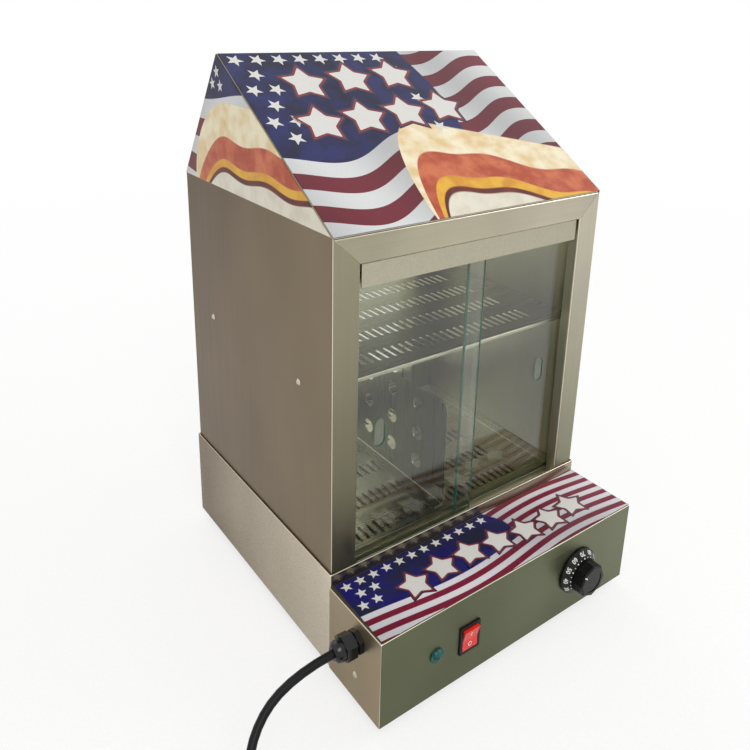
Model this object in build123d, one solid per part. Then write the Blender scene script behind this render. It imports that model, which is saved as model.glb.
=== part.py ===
from build123d import *
from math import atan2, cos, degrees, dist, hypot, pi, sin, sqrt, tan, acos
import os

# A worktop steamer for hot dogs and buns: a glazed tower with a hut-shaped roof stands in a water base,
# and a control box is joined to the front of the base. All sizes are in millimetres. X runs to the
# right, Y to the rear and Z up from the surface that the feet stand on. Y is counted here from the
# tower's front face, and every piece is moved by CENTRE_Y when it is written.

# ---------------------------------------------------------------- sheet metal and fits
SHEET = 1.0  # thickness of the folded steel
FOLD = 1.0  # inner radius of its folds
SEAT = 0.3  # gap between two pieces that sit beside each other
SLIP = 0.1  # radial gap of a screw, rivet or tube in its hole
REST = 0.2  # gap under a piece that lifts off
MITRE_GAP = 0.3  # gap in a mitred corner

# ---------------------------------------------------------------- tower
TOWER_WIDTH = 334.0
TOWER_DEPTH = 298.0
EAVE_Z = 443.5
RIDGE_Y = 208.3
RIDGE_Z = 576.1
RIDGE_ROUND = 1.5
FRONT_POST = 28.0  # width of the face on each side of the front opening
REAR_POST = 35.0
FRONT_RETURN = 12.5  # depth to which the front posts are folded in
REAR_RETURN = 37.0
RAIL_BOTTOM = 416.4  # lower edge of the rails above both openings
RAIL_TOP = 442.3
RAIL_LEDGE = 13.0  # depth of the rail's upper fold, which carries the ceiling
CEILING_FLANGE = 12.5
CEILING_FLANGE_INSET = 30.0  # distance from the tower's faces to the ends of the ceiling's flanges

# ---------------------------------------------------------------- base and control box
FOOT_HEIGHT = 12.0
BASE_OVERHANG = 2.0  # how far the base stands out round the tower
BASE_TOP = 118.0
BASE_CORNER = 2.0
HEM_DEPTH = 8.0  # height of the turned-in edge at the top of the base
HEM_ROUND = 0.9
BOX_WIDTH = 340.0
BOX_DEPTH = 82.0
BOX_TOP = 105.0
BOX_FOLD = 1.5  # outer radius of the control box's folds
BOX_LIP = 40.0  # height of the sides folded up from the control box's floor
SERVICE_WIDTH = 288.0  # opening between base and control box
SERVICE_LOW = 26.0
SERVICE_HIGH = 88.0
VENT_LENGTH = 40.0
VENT_WIDTH = 5.0
VENT_PITCH = 18.0
VENT_COUNT = 5
VENT_X = 60.0

# ---------------------------------------------------------------- feet
FOOT_X = 118.0
FOOT_FRONT_Y = -56.0
FOOT_REAR_Y = 274.0
FOOT_TOP_R = 12.0
FOOT_BOTTOM_R = 9.5
FOOT_RECESS_R = 5.4
FOOT_RECESS = 5.0
FOOT_HEAD = 2.8
FOOT_HEAD_R = 4.4
FOOT_BOLT_R = 2.5
FOOT_NUT = 4.0
FOOT_NUT_FLATS = 8.0

# ---------------------------------------------------------------- doors and their tracks
GLASS = 4.0
GROOVE = 7.2  # width of each of a track's two grooves
TRACK_WALL = 1.0
TRACK_SETBACK = 2.5  # from the tower's face to the front track
TRACK_END_GAP = 2.8  # from the front track to the posts' folded edges
TRACK_BEVEL = 0.8  # on the track's outer long edges
REAR_TRACK_SETBACK = 12.5
TOP_TRACK_DROP = 22.0
BOTTOM_TRACK_RISE = 8.0
SILL_Z = 107.0
SILL_DROP = 14.0
LIFT_ROOM = 9.0  # free height above a pane, which lets it be lifted out
PANE_LIFT = 0.3  # gap under a pane
PANE_EDGE = 0.5  # bevel on the panes' upright edges
FRONT_PANE_LEFT_EDGE = 11.8  # inner edge of the left pane, which runs in the outer groove
FRONT_PANE_RIGHT_EDGE = -3.5  # inner edge of the right pane
PANE_OVERLAP = FRONT_PANE_LEFT_EDGE - FRONT_PANE_RIGHT_EDGE
PULL_WIDTH = 12.0  # ground finger pull
PULL_HEIGHT = 28.0
PULL_DEPTH = 1.4
PULL_X = 111.0
PULL_Z = 246.0

# ---------------------------------------------------------------- perforated plates
SLOT_LENGTH = 22.4
SLOT_WIDTH = 3.8
SLOT_PITCH = 9.25
SLOT_COUNT = 27
ROW_PITCH = 46.3
ROW_COUNT = 5
ROW_MIDDLE_Y = 148.0
SHELF_TOP = 297.0
SHELF_FRONT = 25.0
SHELF_BACK = 260.5
SHELF_SIDE_GAP = 0.8
SHELF_LIP = 3.5
FLOOR_TOP = 96.5
FLOOR_RIM = 11.0  # height of the rim folded up round the floor plate
FLOOR_FRONT = 26.0
FLOOR_BACK = 259.5
DIVIDER_X = 7.0
DIVIDER_FRONT = 45.0
DIVIDER_BACK = 237.0
DIVIDER_TOP = 218.8
DIVIDER_FOOT = 12.5
DIVIDER_NICK_Y = 3.0
DIVIDER_NICK_Z = 7.0
DIVIDER_HOLE_R = 8.5
DIVIDER_HOLE_PITCH_Y = 46.8
DIVIDER_HOLE_PITCH_Z = 36.0
DIVIDER_HOLE_Y = 140.8
DIVIDER_HOLE_Z = 162.5
BRACKET_WIDTH = 12.0
BRACKET_DROP = 10.0
BRACKET_FRONT = 40.0
BRACKET_BACK = 254.0
RIVET_FRONT_Y = 56.9
RIVET_BACK_Y = 241.6
BOX_RIVET_Y = -45.8
BOX_RIVET_Z = 40.8
RIVET_HEAD_R = 3.2
RIVET_HEAD = 1.3
RIVET_R = 1.6
RIVET_TAIL_R = 2.0
RIVET_TAIL = 3.0

# ---------------------------------------------------------------- water pan, heater and drain
PAN_RIM = 8.0
PAN_SIDE_GAP = 4.5  # from the tower's inner wall to the pan's rim
PAN_FRONT = 24.0
PAN_BACK = 258.0
PAN_DEPTH = 57.0
PAN_CORNER = 16.0
PAN_FOOT = 5.0  # radius between the pan's floor and sides
PAN_LEDGE_DROP = 14.0
HEATER_R = 4.0
HEATER_Z = 56.0
HEATER_LEG_X = 40.0
HEATER_LOOP_X = 112.0
HEATER_NEAR_Y = 72.0
HEATER_FAR_Y = 216.0
HEATER_START_Y = 14.0
HEATER_BEND = 20.0
HEATER_STUD_R = 2.0
HEATER_STUD = 10.0
FITTING_FLATS = 16.0
FITTING_NUT = 5.0
FITTING_NECK_R = 6.0
DRAIN_X = 62.0
DRAIN_Z = 52.5
DRAIN_PIPE_R = 6.0
DRAIN_BORE_R = 4.2
DRAIN_FLANGE_R = 8.6
DRAIN_FLANGE = 2.0
DRAIN_NUT = 5.0
DRAIN_NUT_FLATS = 17.0
VALVE_LENGTH = 22.0
VALVE_R = 9.0
VALVE_END_R = 8.0
SPOUT_R = 6.0
SPOUT_BORE_R = 4.0
SPOUT_LOW = 24.0
SPOUT_REACH = 11.0
STEM_R = 3.0
STEM_RISE = 14.0
LEVER_LENGTH = 42.0
LEVER_WIDTH = 10.0
LEVER_THICK = 3.0

# ---------------------------------------------------------------- controls
KNOB_X = 87.0
KNOB_Z = 59.0
KNOB_GAP = 0.8
KNOB_SKIRT_R = 26.0
KNOB_SKIRT_EDGE = 1.6
KNOB_SKIRT_TOP_R = 19.0
KNOB_SKIRT_HEIGHT = 9.5
KNOB_CAP_R = 18.0
KNOB_CAP_SIDES = 8
KNOB_HEIGHT = 22.5
KNOB_CHAMFER = 1.4
KNOB_FACE_R = 12.5
KNOB_FACE_DISH = 0.6
KNOB_CAVITY_R = 22.5
KNOB_CAVITY = 5.5
SHAFT_R = 3.0
SHAFT_FIT = 0.08
SHAFT_LENGTH = 30.0  # from its end in the knob to its end in the thermostat
BUSHING_R = 5.0
BUSHING_OUT = 2.5  # how far the bushing stands out of the panel
THERMOSTAT_WIDTH = 34.0
THERMOSTAT_HEIGHT = 34.0
THERMOSTAT_DEPTH = 20.0
THERMOSTAT_PLATE_HEIGHT = 46.0
THERMOSTAT_PLATE = 1.5
THERMOSTAT_SCREW_Z = 14.0
PANEL_SCREW_R = 2.0
PANEL_SCREW_HEAD_R = 3.6
PANEL_SCREW_HEAD = 2.0
CAPILLARY_R = 1.2
BULB_R = 3.0
BULB_X = 134.0
BULB_FRONT_Y = 50.0
BULB_BACK_Y = 130.0
SWITCH_X = -66.0
SWITCH_Z = 56.5
BEZEL_WIDTH = 25.5
BEZEL_HEIGHT = 31.5
BEZEL_PROUD = 2.0
SWITCH_BODY_WIDTH = 21.6
SWITCH_BODY_HEIGHT = 27.6
SWITCH_BODY_DEPTH = 20.0
SWITCH_WELL = 13.0
ROCKER_WIDTH = 18.6
ROCKER_HALF = 11.9
ROCKER_GAP = 0.4
ROCKER_ROOM = 0.9  # gap above and below the rocker
ROCKER_TILT = 7.0
ROCKER_MIDDLE = 1.8  # how far the hollow of the rocker's face stands out of the panel
ROCKER_PIVOT = 2.0  # depth of the pivot behind the panel's face
ROCKER_HUB_R = 4.0
PIVOT_R = 1.5
PIVOT_FIT = 0.08
BLADE_WIDTH = 6.3
BLADE_THICK = 0.8
BLADE_LENGTH = 8.0
LAMP_X = -106.0
LAMP_Z = 57.4
LAMP_FLANGE_R = 7.5
LAMP_FLANGE = 1.6
LAMP_DOME_R = 6.0
LAMP_PROUD = 5.0
LAMP_BODY_R = 5.4
LAMP_BODY = 22.0
LAMP_CLIP_R = 8.0
LAMP_CLIP = 2.5
TERMINAL_X = -112.0
TERMINAL_Y = -38.0
TERMINAL_LENGTH = 48.0
TERMINAL_WIDTH = 18.0
TERMINAL_HEIGHT = 16.0
TERMINAL_POLES = 5

# ---------------------------------------------------------------- printed panels
FILM = 0.4  # thickness of the printed sheets
FILM_GAP = 0.05
FILM_EAVE_MARGIN = 0.7
FILM_SIDE_MARGIN = 1.0
TOP_FILM_LEFT_FRONT = -167.6  # its left end is cut a little askew
TOP_FILM_LEFT_BACK = -164.8
TOP_FILM_RIGHT = 168.2
TOP_FILM_FRONT = -82.4
TOP_FILM_BACK = -2.8

# ---------------------------------------------------------------- mains lead
CORD_R = 3.9
GLAND_Y = -49.4
GLAND_Z = 83.0
GLAND_FLATS = 20.0
GLAND_FLANGE = 5.0
GLAND_NECK_R = 8.8
GLAND_NECK = 2.0
GLAND_NUT = 11.0
GLAND_DOME = 9.0
GLAND_DOME_END_R = 6.0
GLAND_THREAD_R = 7.9
GLAND_THREAD = 10.0
LOCK_NUT = 5.0
CORD_REST_Z = CORD_R + 0.3
COIL_PITCH = 8.3
COIL_OUTER_R = 59.0
COIL_LOW_TURNS = 2.5
COIL_CLIMB_TURNS = 0.5
COIL_SPREAD_TURNS = 0.5
COIL_HIGH_TURNS = 1.5
COIL_EXIT_SWING = 7.0
COIL_START = (-300.0, -170.0)
COIL_LEAD_IN = 2 * CORD_R
RUNS_PER_TURN = 2
PLUG_RELIEF = 34.0
PLUG_RELIEF_R = 5.2
PLUG_NECK_R = 8.0
PLUG_LENGTH = 30.0
PLUG_WIDTH = 27.0
PLUG_HEIGHT = 24.4
PLUG_ROUND = 4.0
PIN_SPACING = 12.7
PIN_WIDTH = 6.3
PIN_THICK = 1.5
PIN_LENGTH = 17.0
EARTH_PIN_R = 2.4
EARTH_PIN_DROP = 11.9
EARTH_PIN_LENGTH = 20.0

# ---------------------------------------------------------------- places that follow from the sizes
HALF_TOWER = TOWER_WIDTH / 2
INNER_WALL = HALF_TOWER - SHEET
HALF_BASE = HALF_TOWER + BASE_OVERHANG
BASE_FRONT = -BASE_OVERHANG
BASE_BACK = TOWER_DEPTH + BASE_OVERHANG
HALF_BOX = BOX_WIDTH / 2
PANEL_Y = BASE_FRONT - BOX_DEPTH
FLOOR_SHEET_TOP = FOOT_HEIGHT + SHEET
FRONT_OPENING = HALF_TOWER - FRONT_POST
REAR_OPENING = HALF_TOWER - REAR_POST
TRACK_DEPTH = 3 * TRACK_WALL + 2 * GROOVE
FRONT_TRACK_Y = TRACK_SETBACK
REAR_TRACK_Y = TOWER_DEPTH - REAR_TRACK_SETBACK - TRACK_DEPTH
PANE_INSET = TRACK_WALL + (GROOVE - GLASS) / 2  # from a track's face to the pane in its first groove
PANE_STEP = GROOVE + TRACK_WALL  # from one pane to the other
PANE_BOTTOM = SILL_Z + TRACK_WALL + PANE_LIFT
PANE_TOP = RAIL_BOTTOM - TRACK_WALL - LIFT_ROOM
FRONT_PANE_WIDTH = FRONT_OPENING - SEAT - SEAT + FRONT_PANE_LEFT_EDGE
REAR_PANE_WIDTH = REAR_OPENING - SEAT + PANE_OVERLAP / 2
FLOOR_UNDER = FLOOR_TOP - SHEET
BRACKET_TOP = SHELF_TOP - SHEET - REST
RIVET_Z = BRACKET_TOP - SHEET - FOLD - RIVET_TAIL_R - SLIP  # the rivets' tails clear the brackets' folds
PAN_TOP = FLOOR_UNDER - REST
PAN_LEDGE_Z = PAN_TOP - SHEET
PAN_FLOOR_Z = PAN_TOP - PAN_DEPTH
PAN_HALF = INNER_WALL - PAN_SIDE_GAP
PAN_BODY_HALF = PAN_HALF - PAN_RIM
PAN_BODY_FRONT = PAN_FRONT + PAN_RIM
PAN_BODY_BACK = PAN_BACK - PAN_RIM
VALVE_Y = BASE_BACK + DRAIN_NUT
SPOUT_Y = VALVE_Y + VALVE_LENGTH + SPOUT_REACH
REAR_MOST_Y = SPOUT_Y + SPOUT_R
KNOB_FACE_Y = PANEL_Y - KNOB_HEIGHT
CENTRE_Y = (KNOB_FACE_Y + REAR_MOST_Y) / 2
GLAND_END_X = -HALF_BOX - GLAND_FLANGE - GLAND_NECK - GLAND_NUT - GLAND_DOME


# ---------------------------------------------------------------- shapes used by many pieces
def save(name, shape):
    """Write one piece to its own file, moved into the shared frame."""
    export_step(Pos(0, -CENTRE_Y, 0) * shape, f"parts/{name}.step")


def group(solids):
    """Identical separate solids as one node."""
    return Compound(children=list(solids))


def block(left, right, front, back, low, high):
    """Box between six planes."""
    middle = Pos((left + right) / 2, (front + back) / 2, (low + high) / 2)
    return middle * Box(right - left, back - front, high - low)


def beam(left, right, front, back, low, high, corner):
    """Box with rounded upright edges."""
    return fillet(block(left, right, front, back, low, high).edges().filter_by(Axis.Z), corner)


def turned(profile):
    """Solid of revolution about Z from points of radius and height."""
    outline = Polyline([(radius, 0, height) for radius, height in profile], close=True)
    return revolve(make_face(outline), Axis.Z)


def facing(x, y, z, direction):
    """Place whose Z axis points along a direction."""
    return Plane(origin=(x, y, z), z_dir=direction).location


def rod(x, y, z, direction, radius, length):
    """Cylinder that starts at a point and runs along a direction."""
    return facing(x, y, z, direction) * Pos(0, 0, length / 2) * Cylinder(radius, length)


def hexagon(x, y, z, direction, flats, length):
    """Hexagonal prism that starts at a point and runs along a direction."""
    outline = RegularPolygon(flats / 2, 6, major_radius=False)
    return facing(x, y, z, direction) * extrude(outline, length)


def on_both_sides(shape):
    """A right-hand piece and its mirror image on the left."""
    return [shape, mirror(shape, Plane.YZ)]


def tube_along(edges, radius):
    """Round bar along straight runs and arcs that follow each other smoothly."""
    section = Plane(origin=edges[0] @ 0, z_dir=edges[0] % 0) * Circle(radius)
    section = section.face()
    pieces = []
    for edge in edges:
        start = edge @ 0
        end = edge @ 1
        if edge.geom_type == GeomType.LINE:
            piece = Solid.extrude(section, end - start)
        else:
            middle = edge.arc_center
            axis = Axis(middle, (start - middle).cross(edge % 0))
            piece = Solid.revolve(section, degrees(edge.length / edge.radius), axis)
        pieces.append(piece)
        section = piece.faces().sort_by(lambda face: (face.center() - end).length)[0]
    return pieces[0].fuse(*pieces[1:])


def mirrored_rear(shape):
    """A piece of the tower's front turned to face its rear."""
    return mirror(shape, Plane(origin=(0, TOWER_DEPTH / 2, 0), z_dir=(0, 1, 0)))


def folded_sheet(points, sheet=SHEET, fold=FOLD):
    """Section of a folded sheet: the points are its outer line and the sheet lies to their right."""
    corners = [Vector(*point) for point in points]
    runs = [(after - before).normalized() for before, after in zip(corners, corners[1:])]
    rights = [Vector(run.Y, -run.X) for run in runs]
    inner = [corners[0] + rights[0] * sheet]
    outer_radii = []
    inner_radii = []
    for corner, before, after in zip(corners[1:], rights, rights[1:]):
        inner.append(corner + (before + after) * (sheet / (1 + before.dot(after))))
        turns_right = before.cross(after).Z < 0
        outer_radii.append(fold + sheet if turns_right else fold)
        inner_radii.append(fold if turns_right else fold + sheet)
    inner.append(corners[-1] + rights[-1] * sheet)
    outer_line = FilletPolyline(*corners, radius=outer_radii)
    inner_line = FilletPolyline(*inner, radius=inner_radii)
    ends = [Line(corners[0], inner[0]), Line(corners[-1], inner[-1])]
    return make_face(outer_line.edges() + inner_line.edges() + ends)


def along_x(section, left, right):
    """Extrude a section drawn in Y and Z from one X to another."""
    plane = Plane(origin=(left, 0, 0), x_dir=(0, 1, 0), z_dir=(1, 0, 0))
    return extrude(plane * section, right - left)


def along_y(section, front, back):
    """Extrude a section drawn in X and Z from one Y to another."""
    plane = Plane(origin=(0, back, 0), x_dir=(1, 0, 0), z_dir=(0, -1, 0))
    return extrude(plane * section, back - front)


# ---------------------------------------------------------------- tower sheet metal
def mitre_height(x, post):
    """Height of the mitre line between a post and the rail above it."""
    return RAIL_BOTTOM + (EAVE_Z - RAIL_BOTTOM) * (x - HALF_TOWER + post) / post


def above_mitre(post, front, back):
    """The space over a right-hand post that belongs to the rail."""
    inner = HALF_TOWER - post
    corners = [
        (inner - post, RAIL_BOTTOM),
        (inner, RAIL_BOTTOM),
        (INNER_WALL, mitre_height(INNER_WALL, post)),
        (INNER_WALL, EAVE_Z + post),
        (inner - post, EAVE_Z + post),
    ]
    return along_y(make_face(Polyline(corners, close=True)), front, back)


def right_wall():
    """Side sheet with both posts folded from it."""
    outline = [
        (REAR_OPENING + REAR_POST - SHEET - SEAT, TOWER_DEPTH - REAR_RETURN),
        (REAR_OPENING, TOWER_DEPTH - REAR_RETURN),
        (REAR_OPENING, TOWER_DEPTH),
        (HALF_TOWER, TOWER_DEPTH),
        (HALF_TOWER, 0),
        (FRONT_OPENING, 0),
        (FRONT_OPENING, FRONT_RETURN),
    ]
    wall = extrude(Pos(0, 0, FLOOR_SHEET_TOP) * folded_sheet(outline), EAVE_Z - FLOOR_SHEET_TOP)
    wall -= above_mitre(FRONT_POST, -SHEET, FRONT_RETURN + SHEET)
    wall -= above_mitre(REAR_POST, TOWER_DEPTH - REAR_RETURN - SHEET, TOWER_DEPTH + SHEET)
    wall -= block(REAR_OPENING - SHEET, INNER_WALL, SHEET, TOWER_DEPTH - SHEET, RAIL_TOP - SEAT, EAVE_Z + SHEET)
    for y in (RIVET_FRONT_Y, RIVET_BACK_Y):
        wall -= rod(INNER_WALL - SHEET, y, RIVET_Z, (1, 0, 0), RIVET_R + SLIP, 3 * SHEET)
    return wall


def top_rail(post, return_depth):
    """Rail over the front opening: face, lower fold that carries the track, upper fold for the ceiling."""
    outline = [(return_depth, RAIL_BOTTOM), (0, RAIL_BOTTOM), (0, RAIL_TOP), (RAIL_LEDGE, RAIL_TOP)]
    rail = along_x(folded_sheet(outline), -HALF_TOWER, HALF_TOWER)
    inner = HALF_TOWER - post - MITRE_GAP
    below = [
        (inner, RAIL_BOTTOM),
        (INNER_WALL - MITRE_GAP, mitre_height(INNER_WALL, post)),
        (INNER_WALL - MITRE_GAP, EAVE_Z),
        (HALF_TOWER + post, EAVE_Z),
        (HALF_TOWER + post, RAIL_BOTTOM - post),
        (inner, RAIL_BOTTOM - post),
    ]
    offcut = along_y(make_face(Polyline(below, close=True)), -SHEET, return_depth + SHEET)
    for piece in on_both_sides(offcut):
        rail -= piece
    return rail


def ceiling():
    """Flat top of the cabin, whose side flanges locate the roof."""
    half = INNER_WALL - SEAT
    high = RAIL_TOP + CEILING_FLANGE
    outline = [(half, high), (half, RAIL_TOP), (-half, RAIL_TOP), (-half, high)]
    front = SHEET + SEAT
    plate = along_y(folded_sheet(outline), front, TOWER_DEPTH - front)
    over = RAIL_TOP + SHEET
    plate -= block(-HALF_TOWER, HALF_TOWER, 0, CEILING_FLANGE_INSET, over, high + SHEET)
    plate -= block(-HALF_TOWER, HALF_TOWER, TOWER_DEPTH - CEILING_FLANGE_INSET, TOWER_DEPTH, over, high + SHEET)
    return plate


FRONT_SLOPE = atan2(RIDGE_Z - EAVE_Z, RIDGE_Y)
REAR_SLOPE = atan2(RIDGE_Z - EAVE_Z, TOWER_DEPTH - RIDGE_Y)


def gable_outline(inset):
    """Corners of the gable, its slopes moved inward by an inset: front eave, ridge, rear eave."""
    front = inset / sin(FRONT_SLOPE)
    back = TOWER_DEPTH - inset / sin(REAR_SLOPE)
    ridge_y = (back * tan(REAR_SLOPE) + front * tan(FRONT_SLOPE)) / (tan(FRONT_SLOPE) + tan(REAR_SLOPE))
    return [(front, EAVE_Z), (ridge_y, EAVE_Z + (ridge_y - front) * tan(FRONT_SLOPE)), (back, EAVE_Z)]


def roof():
    """Hut-shaped roof of one hollow shell, open underneath."""
    outer = along_x(make_face(Polyline(gable_outline(0), close=True)), -HALF_TOWER, HALF_TOWER)
    ridge = outer.edges().filter_by(Axis.X).sort_by(Axis.Z)[-1]
    outer = fillet(ridge, RIDGE_ROUND)
    inner = along_x(make_face(Polyline(gable_outline(SHEET), close=True)), -INNER_WALL, INNER_WALL)
    return outer - inner


def slope_film(eave_y, slope, sign):
    """Printed sheet on one slope of the roof, drawn up the slope from its eave."""
    length = (RIDGE_Z - EAVE_Z) / sin(slope) - RIDGE_ROUND - FILM_EAVE_MARGIN
    up = (sign * cos(slope), sin(slope))
    out = (-sign * sin(slope), cos(slope))
    corners = []
    for run, rise in ((0, FILM_GAP), (length, FILM_GAP), (length, FILM_GAP + FILM), (0, FILM_GAP + FILM)):
        run += FILM_EAVE_MARGIN
        corners.append((eave_y + run * up[0] + rise * out[0], EAVE_Z + run * up[1] + rise * out[1]))
    half = HALF_TOWER - FILM_SIDE_MARGIN
    return along_x(make_face(Polyline(corners, close=True)), -half, half)


def gable_films():
    """Printed sheets on both gables."""
    inside = gable_outline(FILM_SIDE_MARGIN)
    lift = FILM_EAVE_MARGIN
    front = (inside[0][0] + lift / tan(FRONT_SLOPE), EAVE_Z + lift)
    back = (inside[2][0] - lift / tan(REAR_SLOPE), EAVE_Z + lift)
    outline = make_face(Polyline([front, inside[1], back], close=True))
    film = along_x(outline, HALF_TOWER + FILM_GAP, HALF_TOWER + FILM_GAP + FILM)
    return group(on_both_sides(film))


# ---------------------------------------------------------------- door tracks, sills and panes
def double_track(front, web, mouth, half, notch_depth, notch_half):
    """Track with two grooves between its web and its mouth, notched at both ends to clear the posts."""
    low, high = sorted((web, mouth))
    track = block(-half, half, front, front + TRACK_DEPTH, low, high)
    outer = track.faces().sort_by(Axis.Z)[-1 if mouth < web else 0]
    track = chamfer(outer.edges().filter_by(Axis.X), TRACK_BEVEL)
    inside = web + TRACK_WALL if mouth > web else web - TRACK_WALL
    groove_low, groove_high = sorted((inside, mouth))
    for step in (0, 1):
        near = front + TRACK_WALL + step * PANE_STEP
        track -= block(-half - 1, half + 1, near, near + GROOVE, groove_low, groove_high)
    if notch_depth:
        notch = block(notch_half, half + 1, front - 1, notch_depth, low - 1, high + 1)
        for piece in on_both_sides(notch):
            track -= piece
    return track


def front_track(web, mouth):
    """One of the tracks of the front doors."""
    half = INNER_WALL - 2 * SEAT
    return double_track(FRONT_TRACK_Y, web, mouth, half, FRONT_RETURN + SEAT, FRONT_OPENING - TRACK_END_GAP)


def rear_track(web, mouth):
    """One of the tracks of the rear doors."""
    return double_track(REAR_TRACK_Y, web, mouth, REAR_OPENING - SEAT, 0, 0)


def front_sill():
    """Ledge under the front doors, folded down behind the track."""
    back = FRONT_TRACK_Y + TRACK_DEPTH + 2 * SHEET
    half = INNER_WALL - SEAT
    outline = [(SEAT, SILL_Z), (back, SILL_Z), (back, SILL_Z - SILL_DROP)]
    sill = along_x(folded_sheet(outline), -half, half)
    notch = block(FRONT_OPENING - SEAT, half + 1, 0, FRONT_RETURN + SEAT, SILL_Z - SILL_DROP - 1, SILL_Z + 1)
    for piece in on_both_sides(notch):
        sill -= piece
    return sill


def rear_sill():
    """Ledge under the rear doors, between the rear posts."""
    half = REAR_OPENING - SEAT
    front = REAR_TRACK_Y - 2 * SHEET
    outline = [(front, SILL_Z - SILL_DROP), (front, SILL_Z), (TOWER_DEPTH - SEAT, SILL_Z)]
    return along_x(folded_sheet(outline), -half, half)


def pane(left, right, front, pull_x, pull_outward):
    """Sliding glass door with a ground finger pull on its outer face."""
    glass = block(left, right, front, front + GLASS, PANE_BOTTOM, PANE_TOP)
    glass = chamfer(glass.edges().filter_by(Axis.Z), PANE_EDGE)
    face_y = front if pull_outward < 0 else front + GLASS
    face = Plane(origin=(pull_x, face_y, PULL_Z), x_dir=(1, 0, 0), z_dir=(0, pull_outward, 0))
    return glass - extrude(face * SlotOverall(PULL_HEIGHT, PULL_WIDTH, rotation=90), -PULL_DEPTH)


def front_panes():
    """Left pane in the outer groove and right pane in the inner one, as closed."""
    outer = FRONT_TRACK_Y + PANE_INSET
    left_edge = FRONT_PANE_LEFT_EDGE - FRONT_PANE_WIDTH
    left = pane(left_edge, FRONT_PANE_LEFT_EDGE, outer, -PULL_X, -1)
    right_edge = FRONT_PANE_RIGHT_EDGE + FRONT_PANE_WIDTH
    right = pane(FRONT_PANE_RIGHT_EDGE, right_edge, outer + PANE_STEP, PULL_X, -1)
    return left, right


def rear_panes():
    """Left pane in the inner groove and right pane in the outer one, as closed."""
    inner = REAR_TRACK_Y + PANE_INSET
    edge = REAR_OPENING - SEAT
    left = pane(-edge, REAR_PANE_WIDTH - edge, inner, -PULL_X, 1)
    right = pane(edge - REAR_PANE_WIDTH, edge, inner + PANE_STEP, PULL_X, 1)
    return left, right


# ---------------------------------------------------------------- plates inside the cabin
def slot(length, width):
    """Tool that punches one slot with pointed ends, along Y, through a sheet at Z = 0."""
    straight = (length - width) / 2
    side = width / 2
    tip = length / 2
    corners = [(side, -straight), (side, straight), (0, tip), (-side, straight), (-side, -straight), (0, -tip)]
    return Pos(0, 0, -1) * extrude(make_face(Polyline(corners, close=True)), SHEET + 2)


def perforated(plate, low):
    """Punch rows of slots through a plate whose underside is at a height."""
    tool = slot(SLOT_LENGTH, SLOT_WIDTH)
    places = GridLocations(SLOT_PITCH, ROW_PITCH, SLOT_COUNT, ROW_COUNT)
    return plate - [Pos(0, ROW_MIDDLE_Y, low) * place * tool for place in places]


def bun_shelf():
    """Perforated shelf with its front and rear edges folded down."""
    lip = SHELF_TOP - SHELF_LIP
    outline = [(SHELF_FRONT, lip), (SHELF_FRONT, SHELF_TOP), (SHELF_BACK, SHELF_TOP), (SHELF_BACK, lip)]
    half = INNER_WALL - SHELF_SIDE_GAP
    shelf = along_x(folded_sheet(outline), -half, half)
    for y in (SHELF_FRONT, SHELF_BACK - 2 * SHEET):
        corner = block(INNER_WALL - BRACKET_WIDTH - SHEET, INNER_WALL, y, y + 2 * SHEET, lip - 1, SHELF_TOP - SHEET)
        for piece in on_both_sides(corner):
            shelf -= piece
    return perforated(shelf, SHELF_TOP - SHEET)


def angle(top, width, drop, front, back):
    """Angle fixed to the right wall, whose upper leg carries a plate."""
    outline = [(INNER_WALL - width, top), (INNER_WALL, top), (INNER_WALL, top - drop)]
    return along_y(folded_sheet(outline), front, back)


def shelf_brackets():
    """The two angles under the bun shelf."""
    bracket = angle(BRACKET_TOP, BRACKET_WIDTH, BRACKET_DROP, BRACKET_FRONT, BRACKET_BACK)
    for y in (RIVET_FRONT_Y, RIVET_BACK_Y):
        bracket -= rod(INNER_WALL - 2 * SHEET, y, RIVET_Z, (1, 0, 0), RIVET_R + SLIP, 3 * SHEET)
    return group(on_both_sides(bracket))


def side_rivet(face_x, grip, y, z):
    """Blind rivet set in the right-hand side from outside."""
    profile = [
        (0, RIVET_HEAD),
        (RIVET_HEAD_R * 0.6, RIVET_HEAD),
        (RIVET_HEAD_R, 0),
        (RIVET_R, 0),
        (RIVET_R, -grip),
        (RIVET_TAIL_R, -grip),
        (RIVET_TAIL_R, -grip - RIVET_TAIL),
        (0, -grip - RIVET_TAIL),
    ]
    return facing(face_x, y, z, (1, 0, 0)) * turned(profile)


def side_rivets():
    """Rivets of the shelf brackets and of the control box's floor."""
    rivets = on_both_sides(side_rivet(HALF_TOWER, 2 * SHEET, RIVET_FRONT_Y, RIVET_Z))
    rivets += on_both_sides(side_rivet(HALF_TOWER, 2 * SHEET, RIVET_BACK_Y, RIVET_Z))
    rivets += on_both_sides(side_rivet(HALF_BOX, 2 * SHEET + SEAT, BOX_RIVET_Y, BOX_RIVET_Z))
    return group(rivets)


def floor_plate():
    """Perforated tray over the water pan, its rim folded up all round."""
    half = INNER_WALL - SHELF_SIDE_GAP
    high = FLOOR_TOP + FLOOR_RIM
    fold = FOLD + SHEET
    tray = block(-half, half, FLOOR_FRONT, FLOOR_BACK, FLOOR_UNDER, high + fold)
    tray = fillet(tray.edges(), fold)
    inside = block(-half + SHEET, half - SHEET, FLOOR_FRONT + SHEET, FLOOR_BACK - SHEET, FLOOR_TOP, high + fold + 1)
    tray -= fillet(inside.edges().filter_by(Axis.Z) + inside.faces().sort_by(Axis.Z)[0].edges(), FOLD)
    tray -= block(-half - 1, half + 1, FLOOR_FRONT - 1, FLOOR_BACK + 1, high, high + fold + 1)
    return perforated(tray, FLOOR_UNDER)


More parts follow.
